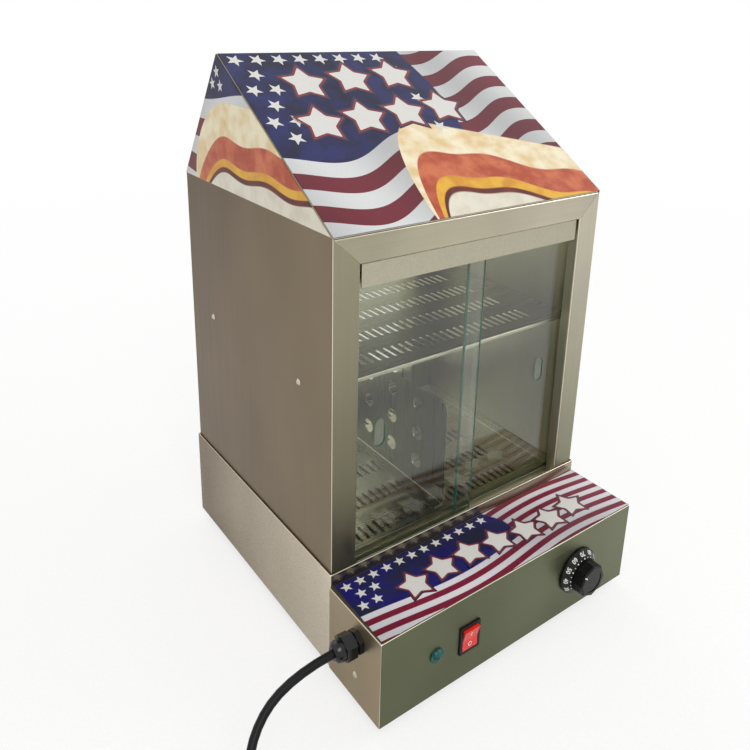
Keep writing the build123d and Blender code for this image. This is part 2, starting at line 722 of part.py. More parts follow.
def divider():
    """Upright plate between the two halves of the cabin, on a foot folded to the left."""
    foot = FLOOR_TOP + REST
    left = DIVIDER_X + SHEET / 2 - DIVIDER_FOOT
    right = DIVIDER_X + SHEET / 2
    outline = [(right, DIVIDER_TOP), (right, foot), (left, foot)]
    plate = along_y(folded_sheet(outline), DIVIDER_FRONT, DIVIDER_BACK)
    nick = [
        (DIVIDER_FRONT - 1, DIVIDER_TOP - DIVIDER_NICK_Z),
        (DIVIDER_FRONT, DIVIDER_TOP - DIVIDER_NICK_Z),
        (DIVIDER_FRONT + DIVIDER_NICK_Y, DIVIDER_TOP),
        (DIVIDER_FRONT + DIVIDER_NICK_Y, DIVIDER_TOP + 1),
        (DIVIDER_FRONT - 1, DIVIDER_TOP + 1),
    ]
    plate -= along_x(make_face(Polyline(nick, close=True)), left, right + 1)
    for column in (-1, 0, 1):
        for row in (-1, 0, 1):
            y = DIVIDER_HOLE_Y + column * DIVIDER_HOLE_PITCH_Y
            z = DIVIDER_HOLE_Z + row * DIVIDER_HOLE_PITCH_Z
            plate -= rod(DIVIDER_X - SHEET, y, z, (1, 0, 0), DIVIDER_HOLE_R, 2 * SHEET)
    return plate


# ---------------------------------------------------------------- base, control box and feet
def base_housing():
    """Open ring of the base with its upper edge hemmed in against the tower."""
    ring = beam(-HALF_BASE, HALF_BASE, BASE_FRONT, BASE_BACK, FOOT_HEIGHT, BASE_TOP, BASE_CORNER)
    ring = fillet(ring.faces().sort_by(Axis.Z)[-1].edges(), HEM_ROUND)
    inner = HALF_BASE - SHEET
    under_hem = BASE_TOP - HEM_DEPTH
    ring -= block(-inner, inner, BASE_FRONT + SHEET, BASE_BACK - SHEET, FOOT_HEIGHT - 1, under_hem)
    seat = HALF_TOWER + SEAT
    ring -= block(-seat, seat, -SEAT, TOWER_DEPTH + SEAT, under_hem - 1, BASE_TOP + 1)
    half = SERVICE_WIDTH / 2
    ring -= block(-half, half, BASE_FRONT - 1, BASE_FRONT + SHEET + 1, SERVICE_LOW, SERVICE_HIGH)
    ring -= rod(DRAIN_X, BASE_BACK - 2 * SHEET, DRAIN_Z, (0, 1, 0), DRAIN_PIPE_R + SLIP, 3 * SHEET)
    return ring


def vented(plate, middle_y):
    """Cut two rows of vents through a floor sheet."""
    tool = Rot(0, 0, 90) * slot(VENT_LENGTH, VENT_WIDTH)
    places = GridLocations(2 * VENT_X, VENT_PITCH, 2, VENT_COUNT)
    return plate - [Pos(0, middle_y, FOOT_HEIGHT) * place * tool for place in places]


def base_floor():
    """Bottom sheet of the base, which the tower's walls stand on."""
    half = HALF_BASE - SHEET - SEAT
    front = BASE_FRONT + SHEET + SEAT
    back = BASE_BACK - SHEET - SEAT
    plate = block(-half, half, front, back, FOOT_HEIGHT, FLOOR_SHEET_TOP)
    for x in (-FOOT_X, FOOT_X):
        plate -= rod(x, FOOT_REAR_Y, FOOT_HEIGHT - 1, (0, 0, 1), FOOT_BOLT_R + SLIP, SHEET + 2)
    return vented(plate, TOWER_DEPTH / 2)


def box_floor():
    """Bottom sheet of the control box with its sides folded up."""
    half = HALF_BOX - SHEET - SEAT
    front = PANEL_Y + SHEET + SEAT
    high = FOOT_HEIGHT + BOX_LIP
    outline = [(half, high), (half, FOOT_HEIGHT), (-half, FOOT_HEIGHT), (-half, high)]
    plate = along_y(folded_sheet(outline), front, BASE_FRONT - SEAT)
    for x in (-FOOT_X, FOOT_X):
        plate -= rod(x, FOOT_FRONT_Y, FOOT_HEIGHT - 1, (0, 0, 1), FOOT_BOLT_R + SLIP, SHEET + 2)
    hole = rod(half - 2 * SHEET, BOX_RIVET_Y, BOX_RIVET_Z, (1, 0, 0), RIVET_R + SLIP, 3 * SHEET)
    for piece in on_both_sides(hole):
        plate -= piece
    return plate


def control_box():
    """Cover of the control box: front, top and sides in one, open to the base and underneath."""
    keep = block(-HALF_BOX, HALF_BOX, PANEL_Y, BASE_FRONT, FOOT_HEIGHT, BOX_TOP)
    outer = block(-HALF_BOX, HALF_BOX, PANEL_Y, 0, 0, BOX_TOP)
    cover = fillet(outer.edges(), BOX_FOLD) & keep
    inner = block(-HALF_BOX + SHEET, HALF_BOX - SHEET, PANEL_Y + SHEET, 1, -1, BOX_TOP - SHEET)
    cover -= fillet(inner.edges(), BOX_FOLD - SHEET)
    cover -= rod(LAMP_X, PANEL_Y - 1, LAMP_Z, (0, 1, 0), LAMP_BODY_R + SLIP, SHEET + 2)
    cover -= rod(KNOB_X, PANEL_Y - 1, KNOB_Z, (0, 1, 0), BUSHING_R + SLIP, SHEET + 2)
    for rise in (-THERMOSTAT_SCREW_Z, THERMOSTAT_SCREW_Z):
        cover -= rod(KNOB_X, PANEL_Y - 1, KNOB_Z + rise, (0, 1, 0), PANEL_SCREW_R + SLIP, SHEET + 2)
    half_width = SWITCH_BODY_WIDTH / 2 + SEAT
    half_height = SWITCH_BODY_HEIGHT / 2 + SEAT
    cover -= block(
        SWITCH_X - half_width,
        SWITCH_X + half_width,
        PANEL_Y - 1,
        PANEL_Y + SHEET + 1,
        SWITCH_Z - half_height,
        SWITCH_Z + half_height,
    )
    cover -= rod(-HALF_BOX - 1, GLAND_Y, GLAND_Z, (1, 0, 0), GLAND_THREAD_R + SLIP, SHEET + 2)
    hole = rod(HALF_BOX - 2 * SHEET, BOX_RIVET_Y, BOX_RIVET_Z, (1, 0, 0), RIVET_R + SLIP, 3 * SHEET)
    for piece in on_both_sides(hole):
        cover -= piece
    return cover


def top_film():
    """Printed sheet on top of the control box."""
    corners = [
        (TOP_FILM_LEFT_FRONT, TOP_FILM_FRONT),
        (TOP_FILM_RIGHT, TOP_FILM_FRONT),
        (TOP_FILM_RIGHT, TOP_FILM_BACK),
        (TOP_FILM_LEFT_BACK, TOP_FILM_BACK),
    ]
    return Pos(0, 0, BOX_TOP + FILM_GAP) * extrude(make_face(Polyline(corners, close=True)), FILM)


def foot_places():
    """Where the four feet are."""
    return [(x, y) for y in (FOOT_FRONT_Y, FOOT_REAR_Y) for x in (-FOOT_X, FOOT_X)]


def rubber_feet():
    """Tapered feet with a recess for the bolt's head."""
    profile = [
        (FOOT_BOLT_R + SLIP, FOOT_HEIGHT),
        (FOOT_TOP_R, FOOT_HEIGHT),
        (FOOT_TOP_R, FOOT_HEIGHT - SHEET),
        (FOOT_BOTTOM_R, 0),
        (FOOT_RECESS_R, 0),
        (FOOT_RECESS_R, FOOT_RECESS),
        (FOOT_BOLT_R + SLIP, FOOT_RECESS),
    ]
    foot = turned(profile)
    return group(Pos(x, y, 0) * foot for x, y in foot_places())


def foot_bolts():
    """Bolts up through the feet and the floor sheets."""
    end = FLOOR_SHEET_TOP + FOOT_NUT + 1
    profile = [
        (0, FOOT_RECESS - FOOT_HEAD),
        (FOOT_HEAD_R - 1, FOOT_RECESS - FOOT_HEAD),
        (FOOT_HEAD_R, FOOT_RECESS - FOOT_HEAD + 1),
        (FOOT_HEAD_R, FOOT_RECESS),
        (FOOT_BOLT_R, FOOT_RECESS),
        (FOOT_BOLT_R, end),
        (0, end),
    ]
    bolt = turned(profile)
    return group(Pos(x, y, 0) * bolt for x, y in foot_places())


def foot_nuts():
    """Nuts on the foot bolts."""
    nuts = []
    for x, y in foot_places():
        nut = hexagon(x, y, FLOOR_SHEET_TOP, (0, 0, 1), FOOT_NUT_FLATS, FOOT_NUT)
        nuts.append(nut - rod(x, y, FLOOR_SHEET_TOP - 1, (0, 0, 1), FOOT_BOLT_R + SLIP, FOOT_NUT + 2))
    return group(nuts)


# ---------------------------------------------------------------- water pan, heater and drain
def pan_ledges():
    """Angles that carry the rim of the water pan."""
    width = PAN_SIDE_GAP + PAN_RIM - SHEET
    return group(on_both_sides(angle(PAN_LEDGE_Z, width, PAN_LEDGE_DROP, PAN_FRONT, PAN_BACK)))


def water_pan():
    """Drawn pan with a flat rim and round corners."""
    rim = beam(-PAN_HALF, PAN_HALF, PAN_FRONT, PAN_BACK, PAN_LEDGE_Z, PAN_TOP, PAN_CORNER)
    outside = block(-PAN_BODY_HALF, PAN_BODY_HALF, PAN_BODY_FRONT, PAN_BODY_BACK, PAN_FLOOR_Z, PAN_TOP)
    outside = fillet(outside.edges().filter_by(Axis.Z), PAN_CORNER)
    outside = fillet(outside.faces().sort_by(Axis.Z)[0].edges(), PAN_FOOT)
    half = PAN_BODY_HALF - SHEET
    front = PAN_BODY_FRONT + SHEET
    back = PAN_BODY_BACK - SHEET
    inside = block(-half, half, front, back, PAN_FLOOR_Z + SHEET, PAN_TOP + 1)
    inside = fillet(inside.edges().filter_by(Axis.Z), PAN_CORNER - SHEET)
    inside = fillet(inside.faces().sort_by(Axis.Z)[0].edges(), PAN_FOOT - SHEET)
    pan = rim + outside - inside
    for x in (-HEATER_LEG_X, HEATER_LEG_X):
        pan -= rod(x, PAN_BODY_FRONT - 1, HEATER_Z, (0, 1, 0), FITTING_NECK_R + SLIP, SHEET + 2)
    pan -= rod(BULB_X, PAN_BODY_FRONT - 1, HEATER_Z, (0, 1, 0), CAPILLARY_R + SLIP, SHEET + 2)
    pan -= rod(DRAIN_X, back - 1, DRAIN_Z, (0, 1, 0), DRAIN_PIPE_R + SLIP, SHEET + 2)
    return pan


def heating_element():
    """Tubular heater in one open loop above the pan's floor, with a stud at each end."""
    corners = [
        (HEATER_LEG_X, HEATER_START_Y, HEATER_Z),
        (HEATER_LEG_X, HEATER_NEAR_Y, HEATER_Z),
        (HEATER_LOOP_X, HEATER_NEAR_Y, HEATER_Z),
        (HEATER_LOOP_X, HEATER_FAR_Y, HEATER_Z),
    ]
    corners += [(-x, y, z) for x, y, z in reversed(corners)]
    heater = tube_along(FilletPolyline(*corners, radius=HEATER_BEND).order_edges(), HEATER_R)
    for x in (-HEATER_LEG_X, HEATER_LEG_X):
        heater += rod(x, HEATER_START_Y + 1, HEATER_Z, (0, -1, 0), HEATER_STUD_R, HEATER_STUD + 1)
    return heater


def heater_fittings():
    """Fittings that seal the heater's ends in the pan's wall, with a nut on each side of it."""
    fittings = []
    for x in (-HEATER_LEG_X, HEATER_LEG_X):
        outer = hexagon(x, PAN_BODY_FRONT, HEATER_Z, (0, -1, 0), FITTING_FLATS, FITTING_NUT)
        inner_y = PAN_BODY_FRONT + SHEET
        inner = hexagon(x, inner_y, HEATER_Z, (0, 1, 0), FITTING_FLATS, FITTING_NUT)
        neck = rod(x, PAN_BODY_FRONT - 1, HEATER_Z, (0, 1, 0), FITTING_NECK_R, SHEET + 2)
        bore = rod(x, HEATER_START_Y, HEATER_Z, (0, 1, 0), HEATER_R + SLIP, HEATER_NEAR_Y - HEATER_START_Y)
        fittings.append(outer + inner + neck - bore)
    return group(fittings)


def drain_pipe():
    """Pipe from the pan's rear wall to the valve, flanged inside the pan."""
    start = PAN_BODY_BACK - SHEET
    length = VALVE_Y - start
    profile = [
        (DRAIN_BORE_R, -DRAIN_FLANGE),
        (DRAIN_FLANGE_R, -DRAIN_FLANGE),
        (DRAIN_FLANGE_R, 0),
        (DRAIN_PIPE_R, 0),
        (DRAIN_PIPE_R, length),
        (DRAIN_BORE_R, length),
    ]
    return facing(DRAIN_X, start, DRAIN_Z, (0, 1, 0)) * turned(profile)


def drain_nuts():
    """Nuts that clamp the drain pipe to the pan and to the rear of the base."""
    nuts = []
    for y in (PAN_BODY_BACK, BASE_BACK):
        nut = hexagon(DRAIN_X, y, DRAIN_Z, (0, 1, 0), DRAIN_NUT_FLATS, DRAIN_NUT)
        nuts.append(nut - rod(DRAIN_X, y - 1, DRAIN_Z, (0, 1, 0), DRAIN_PIPE_R + SLIP, DRAIN_NUT + 2))
    return group(nuts)


def drain_valve():
    """Valve body with a spout bent down at its outlet and a bore for the lever's stem."""
    end_length = VALVE_LENGTH * 0.2
    profile = [
        (0, 0),
        (VALVE_END_R, 0),
        (VALVE_END_R, end_length),
        (VALVE_R, end_length + 2),
        (VALVE_R, VALVE_LENGTH - end_length - 2),
        (VALVE_END_R, VALVE_LENGTH - end_length),
        (VALVE_END_R, VALVE_LENGTH),
        (0, VALVE_LENGTH),
    ]
    body = facing(DRAIN_X, VALVE_Y, DRAIN_Z, (0, 1, 0)) * turned(profile)
    start = (DRAIN_X, VALVE_Y + VALVE_LENGTH, DRAIN_Z)
    bend = (DRAIN_X, SPOUT_Y, DRAIN_Z)
    mouth = (DRAIN_X, SPOUT_Y, SPOUT_LOW)
    spout = FilletPolyline(start, bend, mouth, radius=SPOUT_REACH * 0.9)
    body += tube_along(spout.order_edges(), SPOUT_R)
    body -= rod(DRAIN_X, SPOUT_Y, SPOUT_LOW - 1, (0, 0, 1), SPOUT_BORE_R, DRAIN_Z - SPOUT_LOW - SPOUT_REACH)
    middle = VALVE_Y + VALVE_LENGTH / 2
    body += rod(DRAIN_X, middle, DRAIN_Z, (0, 0, 1), STEM_R + 2, VALVE_R + 2)
    body -= rod(DRAIN_X, middle, DRAIN_Z, (0, 0, 1), STEM_R + SHAFT_FIT, VALVE_R + 3)
    return body


def drain_lever():
    """Stem and flat lever of the drain valve, closed, across the pipe."""
    middle = VALVE_Y + VALVE_LENGTH / 2
    stem = rod(DRAIN_X, middle, DRAIN_Z + SEAT, (0, 0, 1), STEM_R, STEM_RISE)
    low = DRAIN_Z + STEM_RISE - LEVER_THICK
    half = LEVER_WIDTH / 2
    plate = block(DRAIN_X - half, DRAIN_X + LEVER_LENGTH, middle - half, middle + half, low, low + LEVER_THICK)
    plate = fillet(plate.edges().filter_by(Axis.Z), half * 0.9)
    return stem + plate


# ---------------------------------------------------------------- controls on the front panel
def knob():
    """Knob with a flared skirt, an eight-sided grip and a bore for the shaft."""
    skirt = [
        (0, KNOB_GAP),
        (KNOB_SKIRT_R, KNOB_GAP),
        (KNOB_SKIRT_R, KNOB_GAP + KNOB_SKIRT_EDGE),
        (KNOB_SKIRT_TOP_R, KNOB_SKIRT_HEIGHT),
        (0, KNOB_SKIRT_HEIGHT),
    ]
    grip = extrude(RegularPolygon(KNOB_CAP_R, KNOB_CAP_SIDES), KNOB_HEIGHT)
    grip = chamfer(grip.faces().sort_by(Axis.Z)[-1].edges(), KNOB_CHAMFER)
    body = turned(skirt) + grip
    cavity = [(0, 0), (KNOB_CAVITY_R, 0), (KNOB_CAVITY_R, KNOB_GAP + 1), (KNOB_SKIRT_TOP_R, KNOB_CAVITY), (0, KNOB_CAVITY)]
    body -= turned(cavity)
    hub = Pos(0, 0, KNOB_CAVITY / 2 + BUSHING_OUT / 2 + 1) * Cylinder(SHAFT_R + 3, KNOB_CAVITY - BUSHING_OUT)
    body += hub
    body -= Pos(0, 0, KNOB_HEIGHT - KNOB_FACE_DISH / 2) * Cylinder(KNOB_FACE_R, KNOB_FACE_DISH)
    bore = KNOB_HEIGHT - 4
    body -= Pos(0, 0, bore / 2) * Cylinder(SHAFT_R + SHAFT_FIT, bore)
    return facing(KNOB_X, PANEL_Y, KNOB_Z, (0, -1, 0)) * body


def knob_shaft():
    """Shaft that carries the knob and ends inside the thermostat."""
    return rod(KNOB_X, PANEL_Y - KNOB_HEIGHT + 4, KNOB_Z, (0, 1, 0), SHAFT_R, SHAFT_LENGTH)


def thermostat():
    """Thermostat with its fixing plate, its bushing and two blades."""
    half = THERMOSTAT_WIDTH / 2
    plate_y = PANEL_Y + SHEET
    body_y = plate_y + THERMOSTAT_PLATE
    tall = THERMOSTAT_PLATE_HEIGHT / 2
    plate = block(KNOB_X - half, KNOB_X + half, plate_y, body_y, KNOB_Z - tall, KNOB_Z + tall)
    plate = fillet(plate.edges().filter_by(Axis.Y), 3)
    deep = body_y + THERMOSTAT_DEPTH
    rise = THERMOSTAT_HEIGHT / 2 - 6
    case = block(KNOB_X - half + 1, KNOB_X + half - 1, body_y, deep, KNOB_Z - rise, KNOB_Z + rise)
    case = fillet(case.edges().filter_by(Axis.Y), 4)
    bushing = rod(KNOB_X, PANEL_Y - BUSHING_OUT, KNOB_Z, (0, 1, 0), BUSHING_R, SHEET + BUSHING_OUT + 1)
    body = plate + case + bushing
    for x in (KNOB_X - half / 2, KNOB_X + half / 2):
        body += block(
            x - BLADE_THICK / 2,
            x + BLADE_THICK / 2,
            deep - 1,
            deep + BLADE_LENGTH,
            KNOB_Z - BLADE_WIDTH / 2,
            KNOB_Z + BLADE_WIDTH / 2,
        )
    shaft_end = PANEL_Y - KNOB_HEIGHT + 4 + SHAFT_LENGTH
    body -= rod(KNOB_X, shaft_end + SEAT, KNOB_Z, (0, -1, 0), SHAFT_R + SHAFT_FIT, SHAFT_LENGTH)
    for step in (-THERMOSTAT_SCREW_Z, THERMOSTAT_SCREW_Z):
        body -= rod(KNOB_X, plate_y - 1, KNOB_Z + step, (0, 1, 0), PANEL_SCREW_R + SLIP, 6)
    return body


def thermostat_screws():
    """Screws that hold the thermostat, hidden under the knob's skirt."""
    profile = [
        (0, PANEL_SCREW_HEAD),
        (PANEL_SCREW_HEAD_R - 1, PANEL_SCREW_HEAD),
        (PANEL_SCREW_HEAD_R, 0),
        (PANEL_SCREW_R, 0),
        (PANEL_SCREW_R, -SHEET - THERMOSTAT_PLATE - 1),
        (0, -SHEET - THERMOSTAT_PLATE - 1),
    ]
    screw = turned(profile)
    places = [facing(KNOB_X, PANEL_Y, KNOB_Z + rise, (0, -1, 0)) for rise in (-THERMOSTAT_SCREW_Z, THERMOSTAT_SCREW_Z)]
    return group(place * screw for place in places)


def thermostat_bulb():
    """Sensing bulb in the water and the thin tube that joins it to the thermostat."""
    side = KNOB_X + THERMOSTAT_WIDTH / 2 - 6
    back = PANEL_Y + SHEET + THERMOSTAT_PLATE + THERMOSTAT_DEPTH
    points = [
        (side, back, HEATER_Z),
        (side, back + 20, HEATER_Z),
        (BULB_X, -10, HEATER_Z),
        (BULB_X, BULB_FRONT_Y, HEATER_Z),
    ]
    tube = tube_along(FilletPolyline(*points, radius=10).order_edges(), CAPILLARY_R)
    bulb = rod(BULB_X, BULB_FRONT_Y - 1, HEATER_Z, (0, 1, 0), BULB_R, BULB_BACK_Y - BULB_FRONT_Y)
    return tube + bulb


def switch_body():
    """Rocker switch housing: bezel outside the panel, body and blades inside, a well for the rocker."""
    half_width = BEZEL_WIDTH / 2
    half_height = BEZEL_HEIGHT / 2
    bezel = block(
        SWITCH_X - half_width,
        SWITCH_X + half_width,
        PANEL_Y - BEZEL_PROUD,
        PANEL_Y,
        SWITCH_Z - half_height,
        SWITCH_Z + half_height,
    )
    bezel = fillet(bezel.edges().filter_by(Axis.Y), 1.2)
    bezel = chamfer(bezel.faces().sort_by(Axis.Y)[0].edges(), 0.6)
    deep = PANEL_Y + SWITCH_BODY_DEPTH
    body = block(
        SWITCH_X - SWITCH_BODY_WIDTH / 2,
        SWITCH_X + SWITCH_BODY_WIDTH / 2,
        PANEL_Y - 1,
        deep,
        SWITCH_Z - SWITCH_BODY_HEIGHT / 2,
        SWITCH_Z + SWITCH_BODY_HEIGHT / 2,
    )
    well_width = ROCKER_WIDTH / 2 + ROCKER_GAP
    well_height = ROCKER_HALF + ROCKER_ROOM
    well = block(
        SWITCH_X - well_width,
        SWITCH_X + well_width,
        PANEL_Y - BEZEL_PROUD - 1,
        PANEL_Y + SWITCH_WELL,
        SWITCH_Z - well_height,
        SWITCH_Z + well_height,
    )
    housing = bezel + body - well
    for step in (-1, 0, 1):
        z = SWITCH_Z + step * SWITCH_BODY_HEIGHT * 0.3
        housing += block(
            SWITCH_X - BLADE_WIDTH / 2,
            SWITCH_X + BLADE_WIDTH / 2,
            deep - 1,
            deep + BLADE_LENGTH,
            z - BLADE_THICK / 2,
            z + BLADE_THICK / 2,
        )
    pin = ROCKER_WIDTH / 2 + ROCKER_GAP
    for side in (-1, 1):
        start = SWITCH_X + side * (pin + 0.2)
        housing += rod(start, PANEL_Y + ROCKER_PIVOT, SWITCH_Z, (-side, 0, 0), PIVOT_R, ROCKER_GAP + 2)
    return housing


def rocker():
    """Red rocker with a hollow face, tipped so that its upper half stands out."""
    middle = -ROCKER_MIDDLE
    end = middle - ROCKER_HALF * tan(ROCKER_TILT * pi / 180)
    root = ROCKER_PIVOT + ROCKER_HUB_R
    corners = [
        (end, ROCKER_HALF),
        (middle, 0),
        (end, -ROCKER_HALF),
        (ROCKER_PIVOT, -ROCKER_HALF),
        (root, -ROCKER_HUB_R),
        (root, ROCKER_HUB_R),
        (ROCKER_PIVOT, ROCKER_HALF),
    ]
    body = along_x(make_face(Polyline(corners, close=True)), -ROCKER_WIDTH / 2, ROCKER_WIDTH / 2)
    for side in (-1, 1):
        socket = rod(side * (ROCKER_WIDTH / 2 + 1), ROCKER_PIVOT, 0, (-side, 0, 0), PIVOT_R + PIVOT_FIT, 3.2)
        body -= socket
    pivot = Axis((0, ROCKER_PIVOT, 0), (1, 0, 0))
    return Pos(SWITCH_X, PANEL_Y, SWITCH_Z) * body.rotate(pivot, ROCKER_TILT)


def lamp_lens():
    """Domed lens of the pilot lamp."""
    rise = LAMP_PROUD - LAMP_FLANGE
    dome_radius = (LAMP_DOME_R**2 + rise**2) / (2 * rise)
    flange = Pos(0, 0, LAMP_FLANGE / 2) * Cylinder(LAMP_FLANGE_R, LAMP_FLANGE)
    ball = Pos(0, 0, LAMP_PROUD - dome_radius) * Sphere(dome_radius)
    dome = ball & (Pos(0, 0, LAMP_FLANGE - 0.5 + rise) * Cylinder(LAMP_DOME_R, 2 * rise + 1))
    dome &= Pos(0, 0, LAMP_PROUD) * Box(40, 40, 2 * LAMP_PROUD - 1)
    return facing(LAMP_X, PANEL_Y, LAMP_Z, (0, -1, 0)) * (flange + dome)


def lamp_body():
    """Barrel of the pilot lamp behind its lens, with two blades."""
    barrel = rod(LAMP_X, PANEL_Y, LAMP_Z, (0, 1, 0), LAMP_BODY_R, LAMP_BODY)
    deep = PANEL_Y + LAMP_BODY
    for x in (LAMP_X - 2.5, LAMP_X + 2.5):
        barrel += block(x - BLADE_THICK / 2, x + BLADE_THICK / 2, deep - 1, deep + BLADE_LENGTH, LAMP_Z - 1.4, LAMP_Z + 1.4)
    return barrel


def lamp_clip():
    """Ring that clamps the pilot lamp to the back of the panel."""
    clip = rod(LAMP_X, PANEL_Y + SHEET, LAMP_Z, (0, 1, 0), LAMP_CLIP_R, LAMP_CLIP)
    return clip - rod(LAMP_X, PANEL_Y, LAMP_Z, (0, 1, 0), LAMP_BODY_R + SLIP, LAMP_CLIP + 3)


def terminal_block():
    """Terminal block on the control box's floor, with a step and a row of screw wells."""
    left = TERMINAL_X - TERMINAL_LENGTH / 2
    right = TERMINAL_X + TERMINAL_LENGTH / 2
    front = TERMINAL_Y - TERMINAL_WIDTH / 2
    back = TERMINAL_Y + TERMINAL_WIDTH / 2
    low = FLOOR_SHEET_TOP
    body = block(left, right, front, back, low, low + TERMINAL_HEIGHT * 0.6)
    body += block(left, right, front + 4, back - 4, low, low + TERMINAL_HEIGHT)
    pitch = TERMINAL_LENGTH / TERMINAL_POLES
    for pole in range(TERMINAL_POLES):
        x = left + (pole + 0.5) * pitch
        body -= block(x - 2, x + 2, TERMINAL_Y - 2, TERMINAL_Y + 2, low + TERMINAL_HEIGHT - 4, low + TERMINAL_HEIGHT + 1)
    return body


# ---------------------------------------------------------------- mains lead
def gland_body():
    """Cable gland's hexagonal flange, its neck and its thread through the box."""
    flange = hexagon(-HALF_BOX, GLAND_Y, GLAND_Z, (-1, 0, 0), GLAND_FLATS, GLAND_FLANGE)
    flange_end = -HALF_BOX - GLAND_FLANGE
    neck = rod(flange_end + 1, GLAND_Y, GLAND_Z, (-1, 0, 0), GLAND_NECK_R, GLAND_NECK + 1)
    thread = rod(-HALF_BOX - 1, GLAND_Y, GLAND_Z, (1, 0, 0), GLAND_THREAD_R, GLAND_THREAD + 1)
    return flange + neck + thread


def gland_nut():
    """Domed nut of the cable gland, which the cord leaves."""
    start = -HALF_BOX - GLAND_FLANGE - GLAND_NECK
    grip = hexagon(start, GLAND_Y, GLAND_Z, (-1, 0, 0), GLAND_FLATS + 1.6, GLAND_NUT)
    radius = GLAND_FLATS / 2
    shoulder = radius - GLAND_DOME_END_R
    profile = [
        (0, GLAND_NUT - 1),
        (radius, GLAND_NUT - 1),
        (radius, GLAND_NUT + GLAND_DOME - shoulder - 1),
        (radius - shoulder * 0.25, GLAND_NUT + GLAND_DOME - shoulder * 0.55),
        (GLAND_DOME_END_R, GLAND_NUT + GLAND_DOME),
        (0, GLAND_NUT + GLAND_DOME),
    ]
    return grip + facing(start, GLAND_Y, GLAND_Z, (-1, 0, 0)) * turned(profile)


def gland_lock_nut():
    """Nut of the cable gland inside the box."""
    inside = -HALF_BOX + SHEET
    nut = hexagon(inside, GLAND_Y, GLAND_Z, (1, 0, 0), GLAND_FLATS, LOCK_NUT)
    return nut - rod(inside - 1, GLAND_Y, GLAND_Z, (1, 0, 0), GLAND_THREAD_R + SLIP, LOCK_NUT + 2)


def free_route():
    """Points of the cord from the gland down to the coil's first turn."""
    x, y = COIL_START
    return [
        (GLAND_END_X, GLAND_Y, GLAND_Z),
        (-240.0, GLAND_Y, GLAND_Z),
        (-282.0, -61.0, 63.0),
        (-303.0, -92.0, 30.0),
        (x, y + 38.0, CORD_REST_Z),
        (x, y, CORD_REST_Z),
    ]


def bend_radii(points):
    """Radius at each inner point: 0.45 of the shorter run over the tangent of half the turn."""
    radii = []
    for before, corner, after in zip(points, points[1:], points[2:]):
        arriving = Vector(*corner) - Vector(*before)
        leaving = Vector(*after) - Vector(*corner)
        turn = acos(arriving.normalized().dot(leaving.normalized()))
        radii.append(0.45 * min(arriving.length, leaving.length) / tan(turn / 2))
    return radii


def power_cord():
    """Free stretch of the mains lead."""
    points = free_route()
    radii = bend_radii(points)
    path = FilletPolyline(*points, radius=radii)
    tube = tube_along(path.order_edges(), CORD_R)
    print("cord radii", [round(radius, 1) for radius in radii])
    print("cord length", round(path.length, 1), "volume ratio", round(tube.volume / (pi * CORD_R**2 * path.length), 4))
    return tube, path.length


def smooth(share):
    """Ease from 0 to 1 with level ends."""
    share = min(max(share, 0.0), 1.0)
    return share * share * (3 - 2 * share)


COIL_TURNS = COIL_LOW_TURNS + COIL_CLIMB_TURNS + COIL_SPREAD_TURNS + COIL_HIGH_TURNS
COIL_MIDDLE = (COIL_START[0] + COIL_OUTER_R, COIL_START[1] - COIL_LEAD_IN)


def coil_point(turn):
    """Middle of the cord after a number of turns: inward below, up, then outward above."""
    climb_start = COIL_LOW_TURNS
    climb_end = climb_start + COIL_CLIMB_TURNS
    spread_end = climb_end + COIL_SPREAD_TURNS
    radius = COIL_OUTER_R - COIL_PITCH * min(turn, climb_end)
    if turn > climb_end:
        inner = COIL_PITCH * COIL_CLIMB_TURNS + COIL_PITCH
        radius += inner * smooth((turn - climb_end) / COIL_SPREAD_TURNS)
    if turn > spread_end:
        radius += COIL_PITCH * (turn - spread_end)
    radius += COIL_EXIT_SWING * smooth((turn - COIL_TURNS + 0.35) / 0.35)
    height = CORD_REST_Z + COIL_PITCH * smooth((turn - climb_start) / COIL_CLIMB_TURNS)
    angle = pi + 2 * pi * turn
    return Vector(COIL_MIDDLE[0] + radius * cos(angle), COIL_MIDDLE[1] + radius * sin(angle), height)


def coil_heading(turn):
    """Direction of the cord after a number of turns, level and along the circle at both ends."""
    if turn in (0, COIL_TURNS):
        angle = pi + 2 * pi * turn
        return Vector(-sin(angle), cos(angle), 0)
    return (coil_point(turn + 0.001) - coil_point(turn - 0.001)).normalized()


def biarc(start, start_heading, end, end_heading):
    """Two arcs that join two points along the headings given there."""
    chord = end - start
    both = start_heading + end_heading
    a = 2 * (1 - start_heading.dot(end_heading))
    b = 2 * chord.dot(both)
    c = -chord.dot(chord)
    reach = (-b + sqrt(b * b - 4 * a * c)) / (2 * a)
    joint = (start + start_heading * reach + end - end_heading * reach) / 2
    first = TangentArc(start, joint, tangent=start_heading)
    second = TangentArc(joint, end, tangent=first % 1)
    return [first, second]


def least_gap(path):
    """Least gap between turns of a wound tube, measured between points a few millimetres apart."""
    count = int(path.length / 3)
    points = [tuple(path @ (step / count)) for step in range(count + 1)]
    apart = int(6 * CORD_R)
    nearest = min(dist(a, b) for i, a in enumerate(points) for b in points[i + apart // 2:])
    return nearest - 2 * CORD_R


